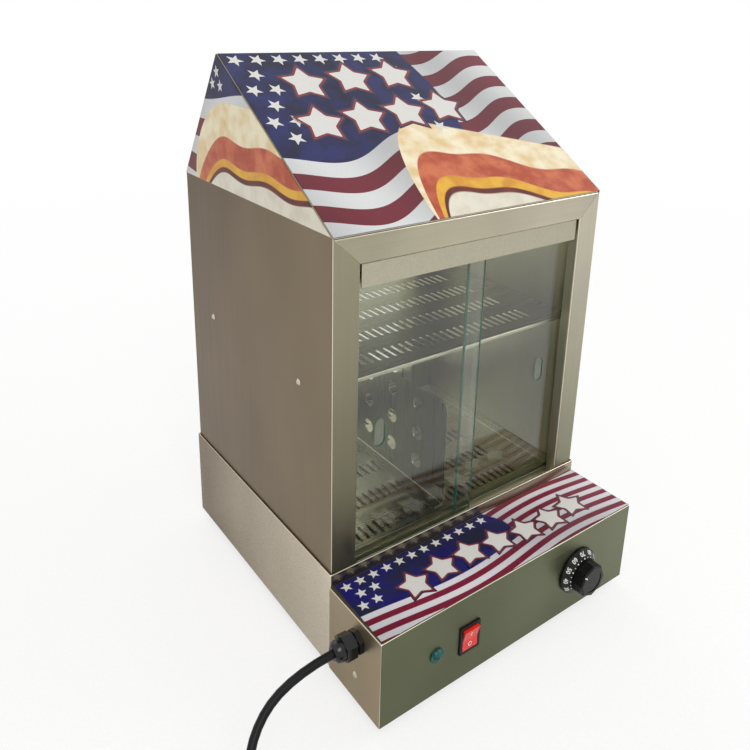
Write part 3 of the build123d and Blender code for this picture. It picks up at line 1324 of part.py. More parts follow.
def cord_coil():
    """The rest of the lead, wound in two layers and tied off to the plug."""
    steps = int(COIL_TURNS * RUNS_PER_TURN)
    places = [step / RUNS_PER_TURN for step in range(steps + 1)]
    points = [coil_point(turn) for turn in places]
    headings = [coil_heading(turn) for turn in places]
    edges = [Line((*COIL_START, CORD_REST_Z), points[0])]
    for start, end, start_heading, end_heading in zip(points, points[1:], headings, headings[1:]):
        edges += biarc(start, start_heading, end, end_heading)
    tail = points[-1] + headings[-1] * (2 * CORD_R)
    edges.append(Line(points[-1], tail))
    edges = [edge for piece in edges for edge in piece.edges()]
    path = Wire(edges)
    tube = tube_along(edges, CORD_R)
    print("coil length", round(path.length, 1), "least gap", round(least_gap(path), 2))
    print("coil volume ratio", round(tube.volume / (pi * CORD_R**2 * path.length), 4))
    return tube, path.length, tail, headings[-1]


def plug(tail, heading):
    """Moulded plug with a tapered sleeve, and its three pins, on the coil's end."""
    sleeve_end = PLUG_RELIEF
    sleeve = turned([(0, 0), (PLUG_RELIEF_R, 0), (PLUG_NECK_R, sleeve_end), (0, sleeve_end)])
    head = Pos(0, 0, sleeve_end + PLUG_LENGTH / 2 - 0.5) * Box(PLUG_HEIGHT, PLUG_WIDTH, PLUG_LENGTH + 1)
    head = fillet(head.edges().filter_by(Axis.Z), PLUG_ROUND)
    head = fillet(head.faces().sort_by(Axis.Z)[0].edges(), PLUG_ROUND * 0.6)
    front = sleeve_end + PLUG_LENGTH
    pins = []
    for side in (-1, 1):
        y = side * PIN_SPACING / 2
        blade = Pos(2.5, y, front + PIN_LENGTH / 2) * Box(PIN_WIDTH, PIN_THICK, PIN_LENGTH)
        pins.append(chamfer(blade.faces().sort_by(Axis.Z)[-1].edges(), 0.4))
    earth = [(0, 0), (EARTH_PIN_R, 0), (EARTH_PIN_R, EARTH_PIN_LENGTH - 2), (1, EARTH_PIN_LENGTH), (0, EARTH_PIN_LENGTH)]
    pins.append(Pos(2.5 - EARTH_PIN_DROP, 0, front) * turned(earth))
    place = Plane(origin=tuple(tail), x_dir=(0, 0, 1), z_dir=heading).location
    return place * (sleeve + head), group(place * pin for pin in pins)


def main():
    """Build every piece and write it to its file."""
    os.makedirs("parts", exist_ok=True)
    right = right_wall()
    save("right_wall", right)
    save("left_wall", mirror(right, Plane.YZ))
    save("front_rail", top_rail(FRONT_POST, FRONT_TRACK_Y + TRACK_DEPTH + SHEET))
    save("rear_rail", mirrored_rear(top_rail(REAR_POST, REAR_TRACK_SETBACK + TRACK_DEPTH + SHEET)))
    save("ceiling", ceiling())
    save("roof", roof())
    save("roof_front_print", slope_film(0, FRONT_SLOPE, 1))
    save("roof_rear_print", slope_film(TOWER_DEPTH, REAR_SLOPE, -1))
    save("gable_prints", gable_films())
    track_mouth = RAIL_BOTTOM - TOP_TRACK_DROP
    save("front_top_track", front_track(RAIL_BOTTOM, track_mouth))
    save("front_bottom_track", front_track(SILL_Z, SILL_Z + BOTTOM_TRACK_RISE))
    save("rear_top_track", rear_track(RAIL_BOTTOM, track_mouth))
    save("rear_bottom_track", rear_track(SILL_Z, SILL_Z + BOTTOM_TRACK_RISE))
    save("front_sill", front_sill())
    save("rear_sill", rear_sill())
    left_pane, right_pane = front_panes()
    save("front_left_glass", left_pane)
    save("front_right_glass", right_pane)
    left_pane, right_pane = rear_panes()
    save("rear_left_glass", left_pane)
    save("rear_right_glass", right_pane)
    save("bun_shelf", bun_shelf())
    save("shelf_brackets", shelf_brackets())
    save("side_rivets", side_rivets())
    save("floor_plate", floor_plate())
    save("divider", divider())
    save("base_housing", base_housing())
    save("base_floor", base_floor())
    save("box_floor", box_floor())
    save("control_box", control_box())
    save("control_box_print", top_film())
    save("rubber_feet", rubber_feet())
    save("foot_bolts", foot_bolts())
    save("foot_nuts", foot_nuts())
    save("pan_ledges", pan_ledges())
    save("water_pan", water_pan())
    save("heating_element", heating_element())
    save("heater_fittings", heater_fittings())
    save("drain_pipe", drain_pipe())
    save("drain_nuts", drain_nuts())
    save("drain_valve", drain_valve())
    save("drain_lever", drain_lever())
    save("thermostat_knob", knob())
    save("knob_shaft", knob_shaft())
    save("thermostat", thermostat())
    save("thermostat_screws", thermostat_screws())
    save("thermostat_bulb", thermostat_bulb())
    save("switch_body", switch_body())
    save("switch_rocker", rocker())
    save("lamp_lens", lamp_lens())
    save("lamp_body", lamp_body())
    save("lamp_clip", lamp_clip())
    save("terminal_block", terminal_block())
    save("gland_body", gland_body())
    save("gland_nut", gland_nut())
    save("gland_lock_nut", gland_lock_nut())
    cord, cord_length = power_cord()
    save("power_cord", cord)
    coil, coil_length, tail, heading = cord_coil()
    save("cord_coil", coil)
    body, pins = plug(tail, heading)
    save("plug_body", body)
    save("plug_pins", pins)
    print("lead length", round(cord_length + coil_length, 1), "centre y", round(CENTRE_Y, 3))


main()
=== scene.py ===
"""Looks of a hot dog steamer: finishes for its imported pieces, the printed panels, the dial marks and the lead.

The object stands on z = 0 with +X to its right and +Y to its rear. All lengths are in metres unless a
name ends in _mm.
"""

import logging
import math
from dataclasses import dataclass, field
from enum import Enum

import bmesh
import bpy
from mathutils import Euler, Matrix, Vector


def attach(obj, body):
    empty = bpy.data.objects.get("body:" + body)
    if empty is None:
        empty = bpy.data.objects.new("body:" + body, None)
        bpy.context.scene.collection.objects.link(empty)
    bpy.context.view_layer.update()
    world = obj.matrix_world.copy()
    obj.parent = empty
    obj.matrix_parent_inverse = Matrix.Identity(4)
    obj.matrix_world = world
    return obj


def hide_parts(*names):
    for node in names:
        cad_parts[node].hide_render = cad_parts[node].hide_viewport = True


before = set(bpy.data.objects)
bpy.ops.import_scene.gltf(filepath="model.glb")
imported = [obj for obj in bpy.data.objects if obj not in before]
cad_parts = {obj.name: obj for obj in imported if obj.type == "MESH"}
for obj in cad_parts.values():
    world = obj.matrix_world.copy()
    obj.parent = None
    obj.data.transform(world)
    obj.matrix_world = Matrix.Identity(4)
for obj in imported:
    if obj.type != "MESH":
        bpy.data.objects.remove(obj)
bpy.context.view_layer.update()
LOG = logging.getLogger("steamer")
MM = 0.001
CENTRE_Y_MM = 118.75  # the drawing counts Y from the tower's front face, and the model is centred by this


def at(x_mm: float, y_mm: float, z_mm: float) -> Vector:
    """Place in the model from millimetres counted from the tower's front face.

    Args:
        x_mm: Distance to the right of the middle.
        y_mm: Distance behind the tower's front face.
        z_mm: Height above the worktop.

    Returns:
        The point in metres, in the shared frame.
    """
    return Vector((x_mm, y_mm - CENTRE_Y_MM, z_mm)) * MM


def linear(code: str) -> tuple[float, float, float, float]:
    """Linear colour from an sRGB hex value.

    Args:
        code: Six hex digits.

    Returns:
        Red, green, blue and an alpha of 1.
    """
    parts = [int(code[i : i + 2], 16) / 255 for i in (0, 2, 4)]
    red, green, blue = (c / 12.92 if c <= 0.04045 else ((c + 0.055) / 1.055) ** 2.4 for c in parts)
    return (red, green, blue, 1.0)


# ---------------------------------------------------------------- node trees
def add(tree: bpy.types.NodeTree, kind: str, settings: dict | None = None) -> bpy.types.Node:
    """Add one shader node with its settings and links.

    Args:
        tree: The tree it goes into.
        kind: Its type, without the leading "ShaderNode".
        settings: Its attributes by name, and its inputs by name or number. An input is given a value, or the
            socket that feeds it.

    Returns:
        The new node.
    """
    node = tree.nodes.new("ShaderNode" + kind)
    for name, value in (settings or {}).items():
        if isinstance(name, str) and hasattr(node, name):
            setattr(node, name, value)
        elif isinstance(value, bpy.types.NodeSocket):
            tree.links.new(value, node.inputs[name])
        else:
            node.inputs[name].default_value = value
    return node


def new_material(name: str) -> tuple[bpy.types.Material, bpy.types.NodeTree]:
    """Empty material with nodes.

    Args:
        name: Its name.

    Returns:
        The material and its tree.
    """
    material = bpy.data.materials.new(name)
    material.use_nodes = True
    material.node_tree.nodes.clear()
    return material, material.node_tree


def grains(
    tree: bpy.types.NodeTree, cells_per_m: tuple[float, float, float], detail: float = 3.0
) -> bpy.types.NodeSocket:
    """Grain pattern in real size, with a length of its own along each axis.

    Args:
        tree: The tree it goes into.
        cells_per_m: Grains per metre along X, Y and Z.
        detail: Number of finer layers.

    Returns:
        The socket that gives the noise, around 0.5.
    """
    place = add(tree, "Mapping", {"Scale": cells_per_m, "Vector": add(tree, "TexCoord").outputs["Object"]})
    return add(tree, "TexNoise", {"Scale": 1.0, "Detail": detail, "Vector": place.outputs[0]}).outputs["Fac"]


# ---------------------------------------------------------------- finishes
class Grain(Enum):
    """Direction of the brush marks on a sheet, as grains per metre along X, Y and Z.

    Real marks lie about 0.1 mm apart. They are drawn 2 mm apart, so that they show from a step away.
    """

    ALONG_X = (6.0, 520.0, 520.0)
    ALONG_Z = (520.0, 520.0, 6.0)


class PaintedReflectionFade(Enum):
    """Painted reflection on a sheet's front, as a tone that changes along one axis: axis, start and end in metres."""

    RIGHT = ("X", -0.167, 0.167)
    UP = ("Z", 0.118, 0.4435)


@dataclass(frozen=True)
class BrushedStainless:
    """Stainless steel sheet with a number 4 brushed finish: fine straight scratches, a soft stretched gleam and the
    cloudy warmth of a greasy, much wiped kitchen sheet. Its tones by facing and place are painted reflections of
    the room, with painted highlights on the folds and painted light on sides that face the middle."""

    name: str
    face: tuple[str, str]  # painted reflection on the front: its tones at the start and at the end of its gradient
    side: tuple[str, str]  # painted reflection of the room on the sides: tones from the rear to the front
    top: str  # painted reflection on what faces up: its tone
    fold: str = "F2E8D6"  # painted highlight on the rounded folds
    inside: str = "CFCAB2"  # painted light on sides that face the middle: a paler tone
    reflection_fade: PaintedReflectionFade = PaintedReflectionFade.RIGHT
    grain: Grain = Grain.ALONG_X
    roughness: float = 0.34
    cloud_mm: float = 120.0

    def tint(self, tree: bpy.types.NodeTree) -> bpy.types.NodeSocket:
        """Painted reflections: a tone by the way a surface faces, with painted highlights on the folds.

        Args:
            tree: The material's tree.

        Returns:
            The socket that gives the tone.
        """
        normal = add(tree, "NewGeometry").outputs["Normal"]
        size = add(tree, "VectorMath", {"operation": "ABSOLUTE", 0: normal}).outputs[0]
        facing = add(tree, "SeparateXYZ", {0: size}).outputs
        outward = add(tree, "SeparateXYZ", {0: normal}).outputs["X"]
        place = add(tree, "SeparateXYZ", {0: add(tree, "TexCoord").outputs["Object"]}).outputs
        # painted reflection on the front: a gradient along the sheet
        axis, start, end = self.reflection_fade.value
        front = add(
            tree,
            "Mix",
            {
                "data_type": "RGBA",
                0: add(tree, "MapRange", {0: place[axis], 1: start, 2: end}).outputs[0],
                6: linear(self.face[0]),
                7: linear(self.face[1]),
            },
        ).outputs[2]
        # painted reflection of the room on the sides, changing from rear to front
        side = add(
            tree,
            "Mix",
            {
                "data_type": "RGBA",
                0: add(tree, "MapRange", {0: place["Y"], 1: 0.16, 2: -0.12}).outputs[0],
                6: linear(self.side[0]),
                7: linear(self.side[1]),
            },
        ).outputs[2]
        # painted light: a paler tone on sides that face the middle
        inward = add(
            tree,
            "MapRange",
            {
                0: add(tree, "Math", {"operation": "MULTIPLY", 0: outward, 1: place["X"]}).outputs[0],
                1: -0.04,
                2: -0.1,
            },
        ).outputs[0]
        side = add(tree, "Mix", {"data_type": "RGBA", 0: inward, 6: side, 7: linear(self.inside)}).outputs[2]
        tone = add(
            tree,
            "Mix",
            {
                "data_type": "RGBA",
                0: add(tree, "MapRange", {0: facing["X"], 1: 0.5, 2: 0.85}).outputs[0],
                6: front,
                7: side,
            },
        ).outputs[2]
        # painted reflection on what faces up
        tone = add(
            tree,
            "Mix",
            {
                "data_type": "RGBA",
                0: add(tree, "MapRange", {0: facing["Z"], 1: 0.6, 2: 0.9}).outputs[0],
                6: tone,
                7: linear(self.top),
            },
        ).outputs[2]
        # painted highlight on the rounded folds, where the normal lies between the axes
        flattest = add(
            tree,
            "Math",
            {
                "operation": "MAXIMUM",
                0: add(tree, "Math", {"operation": "MAXIMUM", 0: facing["X"], 1: facing["Y"]}).outputs[0],
                1: facing["Z"],
            },
        ).outputs[0]
        return add(
            tree,
            "Mix",
            {
                "data_type": "RGBA",
                0: add(tree, "MapRange", {0: flattest, 1: 0.84, 2: 0.76}).outputs[0],
                6: tone,
                7: linear(self.fold),
            },
        ).outputs[2]

    def build(self) -> bpy.types.Material:
        """Make the material."""
        material, tree = new_material(self.name)
        per_m = 1000 / self.cloud_mm
        cloud = grains(tree, (per_m, per_m, per_m * 0.6), 2.0)
        shade = add(tree, "MapRange", {0: cloud, 1: 0.3, 2: 0.72, 3: 0.86, 4: 1.10}).outputs[0]
        scratch = grains(tree, self.grain.value, 1.0)
        fine = add(tree, "MapRange", {0: scratch, 1: 0.3, 2: 0.7, 3: 0.96, 4: 1.03}).outputs[0]
        both = add(tree, "Math", {"operation": "MULTIPLY", 0: shade, 1: fine}).outputs[0]
        colour = add(tree, "VectorMath", {"operation": "SCALE", 0: self.tint(tree), "Scale": both}).outputs[0]
        dull = add(
            tree, "MapRange", {0: scratch, 1: 0.25, 2: 0.75, 3: self.roughness - 0.05, 4: self.roughness + 0.08}
        ).outputs[0]
        bump = add(tree, "Bump", {"Strength": 0.04, "Distance": 0.0002, "Height": scratch}).outputs[0]
        links = {"Base Color": colour, "Roughness": dull, "Normal": bump}
        add(
            tree, "OutputMaterial", {"Surface": add(tree, "BsdfPrincipled", {"Metallic": 1.0} | links).outputs[0]}
        )
        return material


@dataclass(frozen=True)
class PlainMetal:
    """Turned, drawn or plated metal: an even colour with faint tool marks that break up its gleam."""

    name: str
    colour: str
    roughness: float = 0.3
    mark_mm: float = 1.5

    def build(self) -> bpy.types.Material:
        """Make the material."""
        material, tree = new_material(self.name)
        per_m = 1000 / self.mark_mm
        marks = grains(tree, (per_m, per_m, per_m), 3.0)
        shade = add(tree, "MapRange", {0: marks, 1: 0.3, 2: 0.7, 3: 0.9, 4: 1.06}).outputs[0]
        colour = add(
            tree, "VectorMath", {"operation": "SCALE", 0: linear(self.colour)[:3], "Scale": shade}
        ).outputs[0]
        dull = add(
            tree, "MapRange", {0: marks, 1: 0.3, 2: 0.7, 3: self.roughness - 0.05, 4: self.roughness + 0.08}
        ).outputs[0]
        bump = add(tree, "Bump", {"Strength": 0.05, "Distance": 0.0002, "Height": marks}).outputs[0]
        links = {"Base Color": colour, "Roughness": dull, "Normal": bump}
        add(
            tree, "OutputMaterial", {"Surface": add(tree, "BsdfPrincipled", {"Metallic": 1.0} | links).outputs[0]}
        )
        return material


@dataclass(frozen=True)
class MouldedPlastic:
    """Injection moulded plastic or rubber: an even colour with a faint spark-eroded grain."""

    name: str
    colour: str
    roughness: float = 0.35
    grain_mm: float = 0.6
    grain_depth: float = 0.06
    gloss: float = 0.2

    def build(self) -> bpy.types.Material:
        """Make the material."""
        material, tree = new_material(self.name)
        per_m = 1000 / self.grain_mm
        grain = grains(tree, (per_m, per_m, per_m), 2.0)
        wear = grains(tree, (60.0, 60.0, 60.0), 2.0)
        base = Vector(linear(self.colour)[:3])
        pale = tuple(base * 1.3 + Vector((0.002, 0.002, 0.002))) + (1.0,)
        colour = add(
            tree,
            "Mix",
            {
                "data_type": "RGBA",
                0: add(tree, "MapRange", {0: wear, 1: 0.45, 2: 0.8}).outputs[0],
                6: linear(self.colour),
                7: pale,
            },
        ).outputs[2]
        dull = add(
            tree, "MapRange", {0: wear, 1: 0.3, 2: 0.7, 3: self.roughness - 0.04, 4: self.roughness + 0.08}
        ).outputs[0]
        bump = add(tree, "Bump", {"Strength": self.grain_depth, "Distance": 0.0002, "Height": grain}).outputs[0]
        settings = {"IOR": 1.5, "Specular IOR Level": self.gloss}
        links = {"Base Color": colour, "Roughness": dull, "Normal": bump}
        add(tree, "OutputMaterial", {"Surface": add(tree, "BsdfPrincipled", settings | links).outputs[0]})
        return material


@dataclass(frozen=True)
class FloatGlass:
    """Clear float glass: nearly invisible face on, a soft sheen at a slant, and green ground edges."""

    name: str
    tint: str = "F0F3EC"
    edge: str = "2F6B57"
    sheen: float = 0.06  # low, because a white studio on all sides makes panes look hazy

    def build(self) -> bpy.types.Material:
        """Make the material."""
        material, tree = new_material(self.name)
        settings = {"Base Color": linear(self.tint), "Roughness": 0.0, "IOR": 1.5, "Transmission Weight": 1.0}
        pane = add(tree, "BsdfPrincipled", settings | {"Specular IOR Level": self.sheen}).outputs[0]
        clear = add(tree, "BsdfTransparent", {"Color": (0.93, 0.95, 0.93, 1.0)}).outputs[0]
        shadow = add(tree, "LightPath").outputs["Is Shadow Ray"]
        face = add(tree, "MixShader", {0: shadow, 1: pane, 2: clear}).outputs[0]
        cut = add(tree, "BsdfPrincipled", {"Base Color": linear(self.edge), "Roughness": 0.25}).outputs[0]
        normal = add(tree, "NewGeometry").outputs["Normal"]
        axes = add(tree, "SeparateXYZ", {0: normal})
        across = add(tree, "Math", {"operation": "ABSOLUTE", 0: axes.outputs["Y"]}).outputs[0]
        is_face = add(tree, "MapRange", {0: across, 1: 0.86, 2: 0.9}).outputs[0]
        add(tree, "OutputMaterial", {"Surface": add(tree, "MixShader", {0: is_face, 1: cut, 2: face}).outputs[0]})
        return material


@dataclass(frozen=True)
class GroundPull:
    """Sand-ground glass of the finger pulls: matt and milky, it hides what is behind it."""

    name: str = "ground glass, matt"
    colour: str = "8F978A"
    pale: str = "AEB5A8"  # coarser grit, which scatters more
    milk: float = 0.24  # share of light that it scatters

    def build(self) -> bpy.types.Material:
        """Make the material."""
        material, tree = new_material(self.name)
        grit = grains(tree, (2500.0, 2500.0, 2500.0), 2.0)
        colour = add(
            tree,
            "Mix",
            {
                "data_type": "RGBA",
                0: add(tree, "MapRange", {0: grit, 1: 0.35, 2: 0.7}).outputs[0],
                6: linear(self.colour),
                7: linear(self.pale),
            },
        ).outputs[2]
        frosted = add(tree, "BsdfPrincipled", {"Roughness": 0.75, "Base Color": colour}).outputs[0]
        clear = add(tree, "BsdfTransparent", {"Color": (1.0, 1.0, 1.0, 1.0)}).outputs[0]
        add(
            tree,
            "OutputMaterial",
            {"Surface": add(tree, "MixShader", {0: self.milk, 1: clear, 2: frosted}).outputs[0]},
        )
        return material


@dataclass(frozen=True)
class WarmWaves:
    """Arched waves of warm colours in a print: cream, brick red, ochre, maroon and pale grey, one under the other."""

    begins: float  # share of the width where the arch starts to rise
    full: float  # share of the width where it has its height
    top: float  # share of the height that it reaches
    fall: float  # drop of its top over the width, past that place
    layers: tuple[float, float, float, float]  # depth under its top of brick red, ochre, maroon and pale grey
    tones: tuple[tuple[str, str], ...] = (
        ("E9DFC2", "D9BE8C"),
        ("A9492F", "C8704C"),
        ("DDAA3A", "C98B2E"),
        ("54201D", "6B2A24"),
        ("DCD6C6", "CFC8B6"),
    )
    sway: float = 0.02  # share of the height by which the lower layers' edges swing
    sways: float = 21.0  # turns of that swing over the width, in radians

    def lay(
        self, tree: bpy.types.NodeTree, colour: bpy.types.NodeSocket, u: bpy.types.NodeSocket, v: bpy.types.NodeSocket
    ) -> bpy.types.NodeSocket:
        """Lay the waves over a print.

        Args:
            tree: The material's tree.
            colour: Socket with the print so far.
            u: Share of the width.
            v: Share of the height.

        Returns:
            The socket that gives the print with the waves.
        """
        far = add(tree, "MapRange", {0: u, 1: self.full, 2: self.begins}).outputs[0]
        rise = add(
            tree,
            "Math",
            {
                "operation": "SQRT",
                0: add(
                    tree,
                    "Math",
                    {
                        "operation": "SUBTRACT",
                        0: 1.0,
                        1: add(tree, "Math", {"operation": "MULTIPLY", 0: far, 1: far}).outputs[0],
                    },
                ).outputs[0],
            },
        ).outputs[0]
        past = add(tree, "Math", {"operation": "SUBTRACT", 0: u, 1: self.full}).outputs[0]
        crest = add(
            tree,
            "Math",
            {
                "operation": "MULTIPLY",
                0: rise,
                1: add(
                    tree, "Math", {"operation": "MULTIPLY_ADD", 0: past, 1: -self.fall, 2: self.top}
                ).outputs[0],
            },
        ).outputs[0]
        depth = add(tree, "Math", {"operation": "SUBTRACT", 0: crest, 1: v}).outputs[0]
        tone = grains(tree, (50.0, 50.0, 50.0), 3.0)
        bend = add(
            tree,
            "Math",
            {"operation": "SINE", 0: add(tree, "Math", {"operation": "MULTIPLY", 0: u, 1: self.sways}).outputs[0]},
        ).outputs[0]
        swayed = add(tree, "Math", {"operation": "MULTIPLY_ADD", 0: bend, 1: self.sway, 2: depth}).outputs[0]
        for low, (deep, light) in zip((0.0, *self.layers), self.tones):
            paint = add(
                tree,
                "Mix",
                {
                    "data_type": "RGBA",
                    0: add(tree, "MapRange", {0: tone, 1: 0.40, 2: 0.66}).outputs[0],
                    6: linear(deep),
                    7: linear(light),
                },
            ).outputs[2]
            height = swayed if low else depth
            colour = add(
                tree,
                "Mix",
                {
                    "data_type": "RGBA",
                    0: add(tree, "MapRange", {0: height, 1: low, 2: low + 0.008}).outputs[0],
                    6: colour,
                    7: paint,
                },
            ).outputs[2]
        return colour


@dataclass(frozen=True)
class PrintedVinyl:
    """Gloss laminated vinyl with a printed flag cloth: a navy field with a wavy border, and wavy bands of
    dark red and white in which soft shading shows the cloth's folds."""

    name: str
    across: tuple[float, float, float]  # direction on the panel that runs along the bands
    up: tuple[float, float, float]  # direction on the panel that runs across the bands
    origin: Vector  # lower left corner of the panel
    width: float  # size along the bands
    height: float  # size across the bands
    navy: str = "232658"
    deep_navy: str = "1A1B38"  # darker patches of the navy field
    red: str = "6A2430"
    white: str = "C9CACA"
    band: float = 0.0225
    bands_below: int = 4  # bands between the lower edge and the navy field, the uppermost one white
    swing: float = 0.010
    swings: float = 1.6
    tilt: float = 0.0
    field_right: float = 0.55  # share of the width that the navy field covers
    waves: WarmWaves | None = None
    phase: float = 0.0
    roughness: float = 0.3

    def build(self) -> bpy.types.Material:
        """Make the material."""
        material, tree = new_material(self.name)
        place = add(
            tree,
            "VectorMath",
            {"operation": "SUBTRACT", 1: self.origin, 0: add(tree, "TexCoord").outputs["Object"]},
        ).outputs[0]
        along = add(tree, "VectorMath", {"operation": "DOT_PRODUCT", 1: self.across, 0: place}).outputs["Value"]
        over = add(tree, "VectorMath", {"operation": "DOT_PRODUCT", 1: self.up, 0: place}).outputs["Value"]
        u = add(tree, "Math", {"operation": "DIVIDE", 0: along, 1: self.width}).outputs[0]
        v = add(tree, "Math", {"operation": "DIVIDE", 0: over, 1: self.height}).outputs[0]
        turn = add(
            tree, "Math", {"operation": "MULTIPLY_ADD", 0: u, 1: 2 * math.pi * self.swings, 2: self.phase}
        ).outputs[0]
        slant = add(tree, "Math", {"operation": "MULTIPLY_ADD", 0: along, 1: -self.tilt, 2: over}).outputs[0]
        bent = add(
            tree,
            "Math",
            {
                "operation": "MULTIPLY_ADD",
                0: add(tree, "Math", {"operation": "SINE", 0: turn}).outputs[0],
                1: self.swing,
                2: slant,
            },
        ).outputs[0]
        counted = add(tree, "Math", {"operation": "DIVIDE", 0: bent, 1: 2 * self.band}).outputs[0]
        share = add(
            tree,
            "Math",
            {"operation": "FRACT", 0: add(tree, "Math", {"operation": "ADD", 0: counted, 1: 20.0}).outputs[0]},
        ).outputs[0]
        ramp = add(
            tree,
            "Math",
            {
                "operation": "ABSOLUTE",
                0: add(tree, "Math", {"operation": "SUBTRACT", 0: share, 1: 0.5}).outputs[0],
            },
        ).outputs[0]
        cloth = add(
            tree,
            "Mix",
            {
                "data_type": "RGBA",
                0: add(tree, "MapRange", {0: ramp, 1: 0.245, 2: 0.255}).outputs[0],
                6: linear(self.red),
                7: linear(self.white),
            },
        ).outputs[2]
        border = (self.bands_below / 2 + 0.25) * 2 * self.band
        above = add(tree, "MapRange", {0: bent, 1: border - 0.0003, 2: border + 0.0003}).outputs[0]
        ripple = add(
            tree,
            "Math",
            {"operation": "SINE", 0: add(tree, "Math", {"operation": "MULTIPLY", 0: v, 1: 7.0}).outputs[0]},
        ).outputs[0]
        edge = add(tree, "Math", {"operation": "MULTIPLY_ADD", 0: ripple, 1: 0.02, 2: u}).outputs[0]
        inside = add(
            tree, "MapRange", {0: edge, 1: self.field_right + 0.003, 2: self.field_right - 0.003}
        ).outputs[0]
        dye = grains(tree, (45.0, 45.0, 45.0), 3.0)
        night = add(
            tree,
            "Mix",
            {
                "data_type": "RGBA",
                0: add(tree, "MapRange", {0: dye, 1: 0.42, 2: 0.62}).outputs[0],
                6: linear(self.navy),
                7: linear(self.deep_navy),
            },
        ).outputs[2]
        colour = add(
            tree,
            "Mix",
            {
                "data_type": "RGBA",
                0: add(tree, "Math", {"operation": "MULTIPLY", 0: inside, 1: above}).outputs[0],
                6: cloth,
                7: night,
            },
        ).outputs[2]
        fold = add(
            tree,
            "Math",
            {
                "operation": "SINE",
                0: add(
                    tree,
                    "Math",
                    {
                        "operation": "ADD",
                        0: turn,
                        1: add(tree, "Math", {"operation": "MULTIPLY", 0: v, 1: 2.4}).outputs[0],
                    },
                ).outputs[0],
            },
        ).outputs[0]
        shade = add(tree, "MapRange", {0: fold, 1: -1.0, 2: 1.0, 3: 0.72, 4: 1.08}).outputs[0]
        colour = add(tree, "VectorMath", {"operation": "SCALE", 0: colour, "Scale": shade}).outputs[0]
        if self.waves:
            colour = self.waves.lay(tree, colour, u, v)
        dots = add(
            tree, "MapRange", {0: grains(tree, (1400.0, 1400.0, 1400.0), 2.0), 1: 0.3, 2: 0.7, 3: 0.94, 4: 1.04}
        ).outputs[0]
        shown = add(tree, "VectorMath", {"operation": "SCALE", 0: colour, "Scale": dots}).outputs[0]
        smear = grains(tree, (22.0, 22.0, 22.0), 2.0)
        dull = add(
            tree, "MapRange", {0: smear, 1: 0.3, 2: 0.7, 3: self.roughness - 0.03, 4: self.roughness + 0.06}
        ).outputs[0]
        settings = {"IOR": 1.47, "Specular IOR Level": 0.3}
        add(
            tree,
            "OutputMaterial",
            {
                "Surface": add(
                    tree, "BsdfPrincipled", settings | {"Base Color": shown, "Roughness": dull}
                ).outputs[0],
            },
        )
        return material


@dataclass(frozen=True)
class PrintedInk:
    """Screen ink or film in one plain colour: flat, slightly glossy, a little uneven where it was wiped on."""

    name: str
    colour: str
    roughness: float = 0.3

    def build(self) -> bpy.types.Material:
        """Make the material."""
        material, tree = new_material(self.name)
        ink = grains(tree, (900.0, 900.0, 900.0), 2.0)
        shade = add(tree, "MapRange", {0: ink, 1: 0.3, 2: 0.7, 3: 0.93, 4: 1.03}).outputs[0]
        colour = add(
            tree, "VectorMath", {"operation": "SCALE", 0: linear(self.colour)[:3], "Scale": shade}
        ).outputs[0]
        settings = {"Roughness": self.roughness, "IOR": 1.47}
        add(
            tree,
            "OutputMaterial",
            {"Surface": add(tree, "BsdfPrincipled", settings | {"Base Color": colour}).outputs[0]},
        )
        return material


@dataclass(frozen=True)
class LampLens:
    """Tinted polycarbonate lens, unlit: deep colour and a wet gleam."""

    name: str = "polycarbonate, moulded, teal"
    colour: str = "0C5A52"
    deep: str = "073C38"

    def build(self) -> bpy.types.Material:
        """Make the material."""
        material, tree = new_material(self.name)
        ribs = grains(tree, (420.0, 420.0, 420.0), 1.0)
        colour = add(
            tree,
            "Mix",
            {
                "data_type": "RGBA",
                0: add(tree, "MapRange", {0: ribs, 1: 0.4, 2: 0.65}).outputs[0],
                6: linear(self.colour),
                7: linear(self.deep),
            },
        ).outputs[2]
        settings = {"Roughness": 0.12, "IOR": 1.58, "Specular IOR Level": 0.3}
        add(
            tree,
            "OutputMaterial",
            {"Surface": add(tree, "BsdfPrincipled", settings | {"Base Color": colour}).outputs[0]},
        )
        return material


# ---------------------------------------------------------------- meshes
def finished(
    shape: bmesh.types.BMesh, name: str, material: bpy.types.Material, body: str, smooth: bool = False
) -> bpy.types.Object:
    """Turn a bmesh into a piece of the object.

    Args:
        shape: The shape, in the shared frame.
        name: The piece's name.
        material: Its finish.
        body: Name of the CAD body it moves with.
        smooth: Whether its faces shade smoothly.

    Returns:
        The piece.
    """
    bmesh.ops.recalc_face_normals(shape, faces=shape.faces)
    for face in shape.faces:
        face.smooth = smooth
    mesh = bpy.data.meshes.new(name)
    shape.to_mesh(mesh)
    shape.free()
    mesh.materials.append(material)
    piece = bpy.data.objects.new(name, mesh)
    bpy.context.scene.collection.objects.link(piece)
    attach(piece, body)
    return piece


def raised(shape: bmesh.types.BMesh, outline: list[bmesh.types.BMVert], place: Matrix, thickness: float) -> None:
    """Give a flat face its thickness and put it in its place.

    Args:
        shape: The bmesh that holds the face.
        outline: The face's corners, in its own plane.
        place: Moves that plane into the frame, with the face standing out along its Z.
        thickness: How far it stands out.
    """
    lifted = bmesh.ops.extrude_face_region(shape, geom=list(outline[0].link_faces))
    top = [part for part in lifted["geom"] if isinstance(part, bmesh.types.BMVert)]
    bmesh.ops.translate(shape, verts=top, vec=(0.0, 0.0, thickness))
    bmesh.ops.transform(shape, matrix=place, verts=outline + top)


